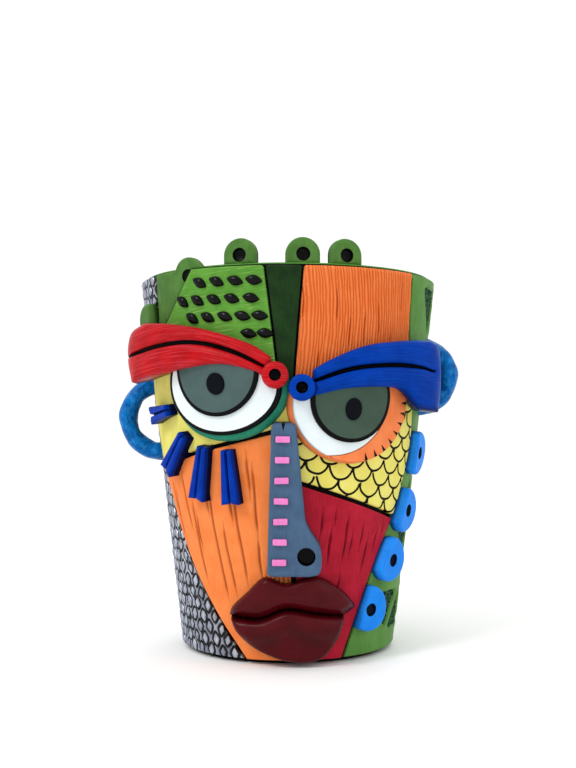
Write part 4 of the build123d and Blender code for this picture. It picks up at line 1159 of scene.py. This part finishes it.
def browPieces():
    for side in ("left", "right"):
        b = brows[side]
        outline = np.vstack([browCurve(side, "top")[:-1], browCurve(side, "end")[:-1], browCurve(side, "lower")])
        outline = rounded(stepped(outline, 1.0, True), 1.4, 0.5)
        wall = wallRadius(heightAt(b["low"]) + b["height"] / 2)
        centreY = brows["sweep"] - wall - brows["stand"]

        def place(u, v, stand):
            # stand is how far a point lies behind the swept front, as a minus value
            y = centreY - np.sqrt(brows["sweep"] ** 2 - u ** 2) - stand
            return np.stack([u, y, v], 1)

        def placeBack(u, v, stand):
            onCone = -np.sqrt(np.maximum((wallRadius(v) + layers["onPanel"] - brows["sunk"]) ** 2 - u ** 2, 1))
            return np.stack([u, np.minimum(onCone, -brows["backShare"] * wall), v], 1)

        line = browCurve(side, "grooveLine")
        tree = treeOfLines([line])
        lowerEdge = treeOfLines([browCurve(side, "lower")])
        reach = line[:, 0].min(), line[:, 0].max()
        along = line[np.argsort(line[:, 0])]

        def relief(flat, gap):
            d = nearest(flat, tree)
            ends = np.minimum(np.abs(flat[:, 0] - reach[0]), np.abs(flat[:, 0] - reach[1]))
            # the groove thins out at both ends, in a shallow dip along the rounded brow
            half = brows["groove"] * (brows["thinEnd"] + (1 - brows["thinEnd"]) * smooth(ends / 14))
            crown = brows["crown"] * (smooth(d / 9.0) * smooth(gap / 5) - 1)
            marks = {"stand": -brows["depth"] * smooth(1.5 - d / half) - brows["dip"] * smooth(1 - d / 4.0) + crown
                     + 0.1 * waves(flat, 13, 61), "ink": d - half}
            if "shadow" in b:
                # painted shade along the outer part of the lower edge
                strong, start, fade, reachUp = b["shadow"]
                outer, low = (flat[:, 0] - start) / fade, 1 - nearest(flat, lowerEdge) / reachUp
                marks["wash"] = strong * smooth(outer) * smooth(low)
            return marks

        def strokes(flat):
            return np.stack([flat[:, 0], flat[:, 1] - np.interp(flat[:, 0], along[:, 0], along[:, 1])], 1)

        rows = rowsAlong([line], (-1.6, -1.1, -0.7, -0.25, 0.25, 0.7, 1.1, 1.6), 0.7)
        part = tile(outline, place, 0.0, 0.0, 0.85, brows["edge"], rows, relief, backPlace=placeBack, strokes=strokes)
        addPiece("brow_" + side, b["slot"], b["paint"], part)

        x0, z0 = b["button"][0], heightAt(b["button"][1])
        reachOut = wallRadius(z0) + layers["onPanel"] + button["thick"]

        def placeButton(u, v, stand):
            return np.stack([x0 + u, -(reachOut + stand), z0 + v], 1)

        def buttonBack(u, v, stand):
            radius = wallRadius(z0 + v) + layers["onPanel"] - button["sunk"]
            return np.stack([x0 + u, -np.sqrt(radius ** 2 - (x0 + u) ** 2), z0 + v], 1)

        relief, rows = dimple((0, 0), button["dimple"], button["depth"])
        part = tile(oval(button["radius"], button["radius"], 0.45), placeButton, 0.0, 0.0, 0.6, button["edge"], rows,
                    relief, backPlace=buttonBack)
        addPiece("brow_button_" + side, b["slot"], b["paint"], part)


# ovals: half width, half height and shift; an iris: shift, rise and radius
eyes = {
    "line": 1.75, "crescentInset": 1.0, "crescentGap": 0.3, "notches": 10, "notchArc": (-78, 22),
    "notchRun": (0.2, 3.4), "lashRim": (27.5, 25.5), "underBrow": 3.0, "browGap": 8, "letIn": 1.0,
    "notch": (0.95, 0.24, 0.1), "notchDepth": 0.3, "rim": 0.15,
    "left": {"azimuth": -24.5, "share": 0.700, "lidOval": (29.0, 24.7, -0.25), "plate": (27.9, 22.1, -0.7),
             "iris": (-1.9, 6.7, 20.5), "pupil": (4.4, 4.8), "pupilAt": (0.8, -6.2), "lid": "lidTeal",
             "lidSlot": "resin_teal", "irisPaint": "irisGrey"},
    "right": {"azimuth": 24.5, "share": 0.658, "lidOval": (28.9, 27.1, 0.7), "plate": (28.4, 26.3, 1.2),
              "iris": (-1.5, 1.6, 19.3), "pupil": (3.9, 4.9), "pupilAt": (-0.1, -4.7), "lid": "rimOrange",
              "lidSlot": "resin_orange", "irisPaint": "irisMoss", "crescent": (-11.0, 2.0)},
}


def underBrow(outline, side):
    # keeps a plate's top edge inside the brow that covers it
    line = browCurve(side, "lower")
    line = line[np.argsort(line[:, 0])]
    a = math.radians(eyes[side]["azimuth"])
    depth = np.sqrt((wallRadius(outline[:, 1]) + eyes["browGap"]) ** 2 - outline[:, 0] ** 2)
    x = outline[:, 0] * math.cos(a) + depth * math.sin(a)
    top = np.interp(x, line[:, 0], line[:, 1]) + eyes["underBrow"]
    return np.stack([outline[:, 0], np.minimum(outline[:, 1], top)], 1)


def ringInside(ring, halfWidth, halfHeight, centre):
    return ((ring[:, 0] - centre[0]) / halfWidth) ** 2 + ((ring[:, 1] - centre[1]) / halfHeight) ** 2 < 1


def longestRun(keep):
    # the indices of the ring points that are kept, in order round the ring
    count = len(keep)
    start = next(i for i in range(count) if keep[i] and not keep[i - 1])
    out = []
    while keep[(start + len(out)) % count] and len(out) < count:
        out.append((start + len(out)) % count)
    return out


def joined(first, second):
    # the second line after the first, turned round where that brings it nearer
    apart = np.hypot(*(first[-1] - second[0])), np.hypot(*(first[-1] - second[-1]))
    return np.vstack([first, second if apart[0] <= apart[1] else second[::-1]])


def cutApart(plate, e):
    # the white's outline and the crescent's, where a second oval crosses the eye's plate
    wide, high, shift = e["plate"]
    z0, inset = heightAt(e["share"]), eyes["crescentInset"]
    centre = (shift + e["crescent"][0], z0 + e["crescent"][1])

    def crossing(inset, outside):
        cutter = oval(wide - inset, high - inset, 0.35, centre)
        kept = ringInside(plate, wide - inset, high - inset, centre)
        return (plate[longestRun(~kept if outside else kept)],
                cutter[longestRun(ringInside(cutter, wide, high, (shift, z0)))])

    far, near = crossing(inset - eyes["crescentGap"], True)
    return joined(*crossing(inset, False)), joined(far[4:-4], near[4:-4])


def eyeCrescent(side, crescent, plateRing):
    e = eyes[side]
    wide, high, shift = e["plate"]
    z0 = heightAt(e["share"])
    notches = []
    for turn in np.radians(np.linspace(*eyes["notchArc"], eyes["notches"])):
        outward = np.array((math.cos(turn), math.sin(turn)))
        tip = np.array((shift, z0)) + np.array((wide, high)) * outward
        notches.append(np.array([tip - outward * run for run in eyes["notchRun"]]))
    tree = treeOfLines(notches)

    def relief(flat, gap):
        # each notch narrows away from the plate's edge
        wide, narrowing, least = eyes["notch"]
        d = nearest(flat, tree)
        half = np.maximum(wide - narrowing * nearest(flat, plateRing), least)
        return {"ink": d - half, "stand": -eyes["notchDepth"] * smooth(1 - d / 0.8)}

    shown = crescent[:, 1] <= underBrow(crescent, side)[:, 1]
    rows = rowsAlong(notches, (-1.0, -0.5, 0.0, 0.5, 1.0), 0.45)
    part = tile(rounded(crescent[shown], 0.3, 0.35), facing(e["azimuth"]), layers["white"],
                layers["lid"] - eyes["letIn"], 0.8, 0.4, rows, relief)
    addPiece("eye_crescent_" + side, "resin_orange", "rimOrange", part)


def eyePieces():
    for side in ("left", "right"):
        e = eyes[side]
        z0 = heightAt(e["share"])
        place = facing(e["azimuth"])
        wide, high, shift = e["lidOval"]
        lid = rounded(underBrow(oval(wide, high, 0.5, (shift, z0)), side), 0.5, 0.5)
        part = tile(lid, place, layers["lid"], layers["glue"] + 2.4, 1.0, 2.0, relief=unevenness(12, 0.1, 71))
        addPiece("eye_lid_" + side, e["lidSlot"], e["lid"], part)

        wide, high, shift = e["plate"]
        middle = np.array((shift, z0))
        plate = oval(wide, high, 0.35, middle)
        plateRing = treeOf(stepped(plate, 0.1, True))
        white, crescent = cutApart(plate, e) if "crescent" in e else (plate, None)

        def whiteRelief(flat, gap):
            return {"ink": nearest(flat, plateRing) - eyes["line"]} if crescent is None else {}

        # rows of points along each black line, at its middle and a little to both sides
        insets = [eyes["line"] + s for s in (-0.3, 0.0, 0.3)]
        rows = rowsAlong([oval(wide - s, high - s, 0.5, middle) for s in insets], (0,), 0.5, True)
        outline = rounded(underBrow(white, side), 0.3, 0.4)
        part = tile(outline, place, layers["white"], layers["lid"] - eyes["letIn"], 1.2, 0.4, rows, whiteRelief)
        addPiece("eye_white_" + side, "resin_white", "eyeWhite", part)
        if crescent is not None:
            eyeCrescent(side, crescent, plateRing)

        # the iris is a disc that stops at the plate's edge
        x0, up, radius = e["iris"]
        spot = np.array((x0, z0 + up))
        p = oval(radius, radius, 0.4, spot) - middle
        over = np.hypot(p[:, 0] / (wide - eyes["rim"]), p[:, 1] / (high - eyes["rim"]))
        ring = middle + p / np.maximum(over, 1)[:, None]
        irisRing = treeOf(stepped(ring, 0.1, True))

        def irisRelief(flat, gap):
            return {"ink": nearest(flat, irisRing) - eyes["line"]}

        rows = rowsAlong([oval(radius - s, radius - s, 0.5, spot) for s in insets], (0,), 0.5, True)
        outline = rounded(underBrow(ring, side), 0.3, 0.4)
        part = tile(outline, place, layers["iris"], layers["white"] - 0.6, 1.2, 0.35, rows, irisRelief)
        addPiece("eye_iris_" + side, "resin_iris_grey", e["irisPaint"], part)

        pupil = oval(*e["pupil"], 0.4, spot + e["pupilAt"])
        addPiece("eye_pupil_" + side, "resin_pupil_black", "pupilBlack",
                 tile(pupil, place, layers["pupil"], layers["iris"] - 0.5, 0.8, 0.6))


# each lash in the table: its place round the eye, its direction and its length
lashes = {"innerWidth": 5.2, "outerWidth": 8.6, "thick": 5.5, "bevel": 0.9, "grooveWidth": 0.5, "depth": 1.5,
          "gap": 2.5, "back": -2.2,
          "table": ((-160, -172, 18.0), (-131, -134, 23.0), (-109.5, -103.5, 25.0), (-88, -88, 24.5))}


def lashPieces():
    z0 = heightAt(eyes["left"]["share"])
    for number, (spot, direction, length) in enumerate(lashes["table"], start=1):
        at, way = math.radians(spot), math.radians(direction)
        rim = 1 / math.hypot(math.cos(at) / eyes["lashRim"][0], math.sin(at) / eyes["lashRim"][1]) + lashes["gap"]
        across = rim * math.cos(at) + length / 2 * math.cos(way)
        z = z0 + rim * math.sin(at) + length / 2 * math.sin(way)
        a = math.radians(eyes["left"]["azimuth"]) + across / wallRadius(z)
        right, up, out = leanAxes(a)
        axis = right * math.cos(way) + up * math.sin(way)
        place = flatPlace(atDistance(a, wallRadius(z) + layers["onPanel"], z), axis, np.cross(out, axis), out)

        half = length / 2
        inner, outer = lashes["innerWidth"] / 2, lashes["outerWidth"] / 2
        shape = [(-half, -inner), (half, -outer), (half - 0.6, -0.5), (half - 1.6, 0), (half - 0.6, 0.5),
                 (half, outer), (-half, inner)]
        outline = rounded(np.array(shape), 0.35, 0.4)
        line = np.array([(-half - 1, 0), (half + 1, 0)])

        def relief(flat, gap):
            d = np.abs(flat[:, 1])
            bevel = -lashes["bevel"] * np.clip(1 - gap / lashes["bevel"], 0, 1)
            # darker paint close to the outline
            return {"stand": bevel - lashes["depth"] * smooth(1.3 - d / lashes["grooveWidth"]) + 0.1 * d,
                    "ink": d - lashes["grooveWidth"] * 0.6,
                    "wash": 0.35 * smooth(1 - gap / 0.7)}

        rows = rowsAlong([line], (-1.0, -0.7, -0.4, -0.1, 0.1, 0.4, 0.7, 1.0), 0.8)
        rows = np.vstack([rows, outline * np.array((1 - 2 * lashes["bevel"] / length, 0.62))])
        part = tile(outline, place, lashes["thick"], lashes["back"], 0.9, 0.35, rows, relief, backStep=4.0)
        addPiece("lash_%d" % number, "resin_blue", "lashBlue", part)


# the nose: its wing and nostril in shares of the foot's width and of the height
nose = {"azimuth": -1.6, "height": 67.5, "low": 0.235, "topWidth": 10.5, "footWidth": 24.0, "thick": 8.0,
        "edge": 1.3, "corner": 3.2, "left": 0.31,
        "wing": ((0.70, 0.36), (0.79, 0.29), (0.95, 0.20), (1.0, 0.115), (0.985, 0.045), (0.945, 0.012)),
        "nostril": (0.72, 0.135), "nostrilRadius": 3.9, "nostrilDepth": 4.2, "nick": (0.8, 3.4),
        "bars": 7, "barHalf": (3.1, 1.35), "barThick": 1.6, "barShares": (0.10, 0.90), "sunk": 0.6,
        "barTilt": 0.03}


def nosePieces():
    low, foot, high = heightAt(nose["low"]), nose["footWidth"], nose["height"]
    left, topLeft = -nose["left"] * foot, -nose["topWidth"] / 2
    wing = [(left + x * foot, low + y * high) for x, y in nose["wing"]]
    shape = [(left + foot - nose["corner"], low), (left, low), (topLeft, low + high),
             (topLeft + nose["topWidth"], low + high)]
    outline = np.vstack([soften(np.array(shape + [wing[0]]), 2.2)[5:], curve(wing, 0.5)])
    outline = rounded(stepped(outline, 1.2, True), 1.0, 0.5)
    spot = (left + nose["nostril"][0] * foot, low + nose["nostril"][1] * high)
    seat = leaning(nose["azimuth"], low, wallRadius(low) + layers["onPanel"])
    nostril, rows = dimple(spot, nose["nostrilRadius"], nose["nostrilDepth"])
    top = low + high

    nick, nickLength = nose["nick"]

    def relief(flat, gap):
        # the nostril, and a small nick at the top
        marks = nostril(flat, gap)
        half = nick * np.clip((flat[:, 1] - top + nickLength) / nickLength, 0, 1)
        marks["ink"] = np.minimum(marks["ink"], np.where(half > 0, np.abs(flat[:, 0]) - half, unmarked["ink"]))
        return marks

    nickRows = rowsAlong([[(0, top - nickLength - 1), (0, top + 1)]], (-1.2, -0.8, -0.4, 0.0, 0.4, 0.8, 1.2), 0.4)
    rows = np.vstack([rows, nickRows])
    part = tile(outline, seat, nose["thick"], -nose["sunk"], 0.9, nose["edge"], rows, relief,
                backPlace=bentBack(seat, wallRadius(low + high / 2) + layers["onPanel"]), backStep=4.0)
    addPiece("nose_slab", "resin_slate", "noseSlate", part)

    (first, last), (w, h) = nose["barShares"], nose["barHalf"]
    bar = np.array([(-w, -h), (w, -h), (w, h), (-w, h)])
    parts = []
    for k in range(nose["bars"]):
        share = first + (last - first) * k / (nose["bars"] - 1)
        middle = left * (1 - share) + topLeft * share + nose["topWidth"] / 2
        tilt = nose["barTilt"] * math.sin(3.7 * k)
        shape = bar + np.stack([np.zeros(4), tilt * bar[:, 0]], 1) + np.array((middle, low + share * high))
        outline = rounded(shape, 0.5, 0.35)
        parts.append(tile(outline, seat, nose["thick"] + nose["barThick"], nose["thick"] - nose["sunk"], 0.8, 0.5))
    addPiece("nose_bars", "resin_pink", "barPink", *parts)


# each lip's curves, in shares of the half width and of the lip's height
lips = {
    "middle": 2.2, "halfWidth": 28.4, "mouth": 0.129, "tuck": 0.9,
    "upper": {"height": 17.0, "shift": 0.4, "front": 6.4, "rollIn": (2.2, 4.2), "lean": (1.4, 6)},
    "lower": {"height": 20.0, "shift": -0.4, "front": 6.8, "rollIn": (3.2, 1.7), "roll": (3.4, 5.2, 9.0),
              "slope": (0.05, 7)},
    "upperTop": ((-1.0, -0.05), (-0.95, 0.17), (-0.72, 0.56), (-0.44, 0.98), (-0.10, 0.82), (0.35, 1.0),
                 (0.76, 0.62), (1.0, 0.15)),
    "upperLow": ((1.0, 0.15), (0.76, -0.06), (0.35, 0.02), (-0.10, 0.14), (-0.50, -0.11), (-0.80, -0.10),
                 (-1.0, -0.05)),
    "lowerTop": ((0.80, -0.05), (0.35, 0.02), (-0.10, 0.12), (-0.50, -0.09), (-0.80, -0.09), (-0.975, -0.05)),
    "lowerLow": ((-0.975, -0.05), (-0.86, -0.36), (-0.56, -0.74), (-0.05, -1.0), (0.42, -0.97), (0.68, -0.56),
                 (0.80, -0.05)),
}


def lipCurve(key, height, shift):
    mouth = heightAt(lips["mouth"]) + (lips["tuck"] if key == "lowerTop" else shift)
    return curve([(lips["middle"] + x * lips["halfWidth"], mouth + y * height) for x, y in lips[key]], 0.5)


def lipPieces():
    for name in ("upper", "lower"):
        lip = lips[name]
        first, second = (lipCurve(name + edge, lip["height"], lip["shift"]) for edge in ("Top", "Low"))
        mouthLine = second if name == "upper" else first
        outline = np.vstack([first[:-1], second[:-1]])
        outline = rounded(stepped(outline, 1.0, True), 0.8, 0.5)
        tree = treeOfLines([mouthLine])

        def relief(flat, gap):
            # both lips roll in at the mouth
            toMouth = nearest(flat, tree)
            deep, reach = lip["rollIn"]
            stand = -deep * smooth(1 - toMouth / reach)
            if name == "upper":
                # it leans out from the top edge
                high, reach = lip["lean"]
                stand = stand + high * smooth(gap / reach)
            else:
                # a rolled top edge, then a long slope down to the chin
                high, crest, reach = lip["roll"]
                steep, start = lip["slope"]
                stand = stand + high * smooth(1.0 - np.abs(toMouth - crest) / reach)
                stand = stand - steep * np.maximum(toMouth - start, 0)
            # painted shade along the mouth line, where the lips meet
            return {"stand": stand + 0.1 * waves(flat, 12, 81), "wash": 0.9 * smooth(1.2 - toMouth / 1.4)}

        part = tile(outline, facing(0), layers["onPanel"] + lip["front"], layers["glue"] + 2, 0.8, 2.2, None, relief)
        addPiece("lip_" + name, "resin_maroon", "lipMaroon", part)


# lumpy rings of clay pushed on the sides; lumps and dents are waves along the ring and round it
ears = {"halfWidth": 4.8, "halfDepth": 7.0, "sink": 2.2, "inset": 0.45, "square": 0.85,
        "lumps": ((0.035, 4, 1), (0.02, 7, 2)), "sections": 56, "along": 110,
        "dents": ((0.16, 6, 2, 0), (0.1, 9, -3, 1), (0.06, 15, 4, 0)),
        "left": {"azimuth": -84.0, "share": 0.622, "ring": 16.4},
        "right": {"azimuth": 80.0, "share": 0.735, "ring": 14.6}}


def earPieces():
    for side in ("left", "right"):
        e = ears[side]
        a, z = math.radians(e["azimuth"]), heightAt(e["share"])
        tangent, outward = compass(a)
        middle = atDistance(a, wallRadius(z), z)
        overlap = (ears["sink"] - layers["wrap"]) / e["ring"]
        reach = math.pi / 2 + overlap + 0.05
        turns = np.linspace(-reach, reach, ears["along"])
        sections = ears["sections"]
        verts, along = [], []
        sweep = np.linspace(0, 2 * math.pi, sections, endpoint=False)
        for i, t in enumerate(turns):
            radial = outward * math.cos(t) + np.array((0, 0, 1)) * math.sin(t)
            lump = 1 + sum(high * math.sin(n * t + phase) for high, n, phase in ears["lumps"])
            for s in sweep:
                dent = sum(high * math.sin(n * t + m * s + phase) for high, n, m, phase in ears["dents"])
                across, deep = ((ears[key] * lump - ears["inset"] + dent)
                                * math.copysign(abs(way) ** ears["square"], way)
                                for key, way in (("halfWidth", math.cos(s)), ("halfDepth", math.sin(s))))
                verts.append(middle + radial * (e["ring"] + across) + tangent * deep)
                along.append((t * e["ring"], s * 5))
        faces = []
        for i in range(len(turns) - 1):
            for j in range(sections):
                k = (j + 1) % sections
                faces.append((i * sections + j, i * sections + k, (i + 1) * sections + k, (i + 1) * sections + j))
        faces.append(tuple(range(sections))[::-1])
        faces.append(tuple((len(turns) - 1) * sections + j for j in range(sections)))
        part = {**unmarked, "verts": np.array(verts), "faces": faces, "finish": 0, "edge": 9.0,
                "along": np.array(along)}
        addPiece("ear_" + side, "resin_ear_blue", "earBlue", part)


potCore()
drainPlug()
print("stage: pot and plug")
foreheadLeft()
foreheadRight()
foreheadWedge()
foreheadSeeds()
temples()
cheeks()
print("stage: mask panels")
sideWrapLeft()
sideWrapRight()
print("stage: side skins")
templeBacking()
rimTabPieces()
scallopPieces()
browPieces()
eyePieces()
lashPieces()
nosePieces()
lipPieces()
earPieces()
print("stage: face pieces")


# floor, light and camera; each light is its place, size and power
studio = {"floor": ("#fbfbfa", "#f8f8f7"), "blotch": 60.0, "world": 1.05, "aim": (0, 0, 0.09),
          "camera": (0.0, -0.532, 0.1075), "tiltUp": 2.2, "lens": 49.9,
          "key": ((-0.75, -0.85, 1.05), 0.42, 8.0), "fill": ((0.95, -0.75, 0.55), 0.8, 1.5),
          "rim": ((0.35, 0.9, 0.95), 0.7, 2.0)}


def addStudio():
    scene = bpy.context.scene
    mesh = bpy.data.meshes.new("floor")
    mesh.from_pydata([(-6, -6, 0), (6, -6, 0), (6, 6, 0), (-6, 6, 0)], [], [(0, 1, 2, 3)])
    floor = bpy.data.objects.new("floor", mesh)
    scene.collection.objects.link(floor)
    material = bpy.data.materials.new("paperSweep")
    tree = emptyTree(material)
    place = addNode(tree, "TexCoord", {})["Object"]
    cloud = addNode(tree, "TexNoise", {"Vector": place, "Scale": 1000 / studio["blotch"]})[0]
    pale, grey = (linear(code) for code in studio["floor"])
    tone = addNode(tree, "Mix", {"data_type": "RGBA", 0: cloud, 6: pale, 7: grey})[2]
    shader = addNode(tree, "BsdfPrincipled", {"Base Color": tone, "Roughness": 0.85})[0]
    addNode(tree, "OutputMaterial", {"Surface": shader})
    mesh.materials.append(material)
    world = bpy.data.worlds.new("studio")
    world.use_nodes = True
    background = world.node_tree.nodes["Background"].inputs
    background[0].default_value, background[1].default_value = (1, 1, 1, 1), studio["world"]
    scene.world = world
    for name in ("key", "fill", "rim"):
        spot, size, power = studio[name]
        light = bpy.data.lights.new(name, "AREA")
        light.shape = "DISK"
        light.size = size
        light.energy = power
        holder = bpy.data.objects.new(name, light)
        holder.location = spot
        aim = Vector(studio["aim"]) - Vector(spot)
        holder.rotation_euler = aim.to_track_quat("-Z", "Y").to_euler()
        scene.collection.objects.link(holder)
    camera = bpy.data.cameras.new("camera")
    camera.lens = studio["lens"]
    camera.sensor_width = 36.0
    camera.clip_start = 0.01
    holder = bpy.data.objects.new("camera", camera)
    holder.location = studio["camera"]
    holder.rotation_euler = (math.radians(90 + studio["tiltUp"]), 0, 0)
    scene.collection.objects.link(holder)
    scene.camera = holder
    scene.view_settings.view_transform = "Standard"


addStudio()
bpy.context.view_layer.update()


print("stage: studio")
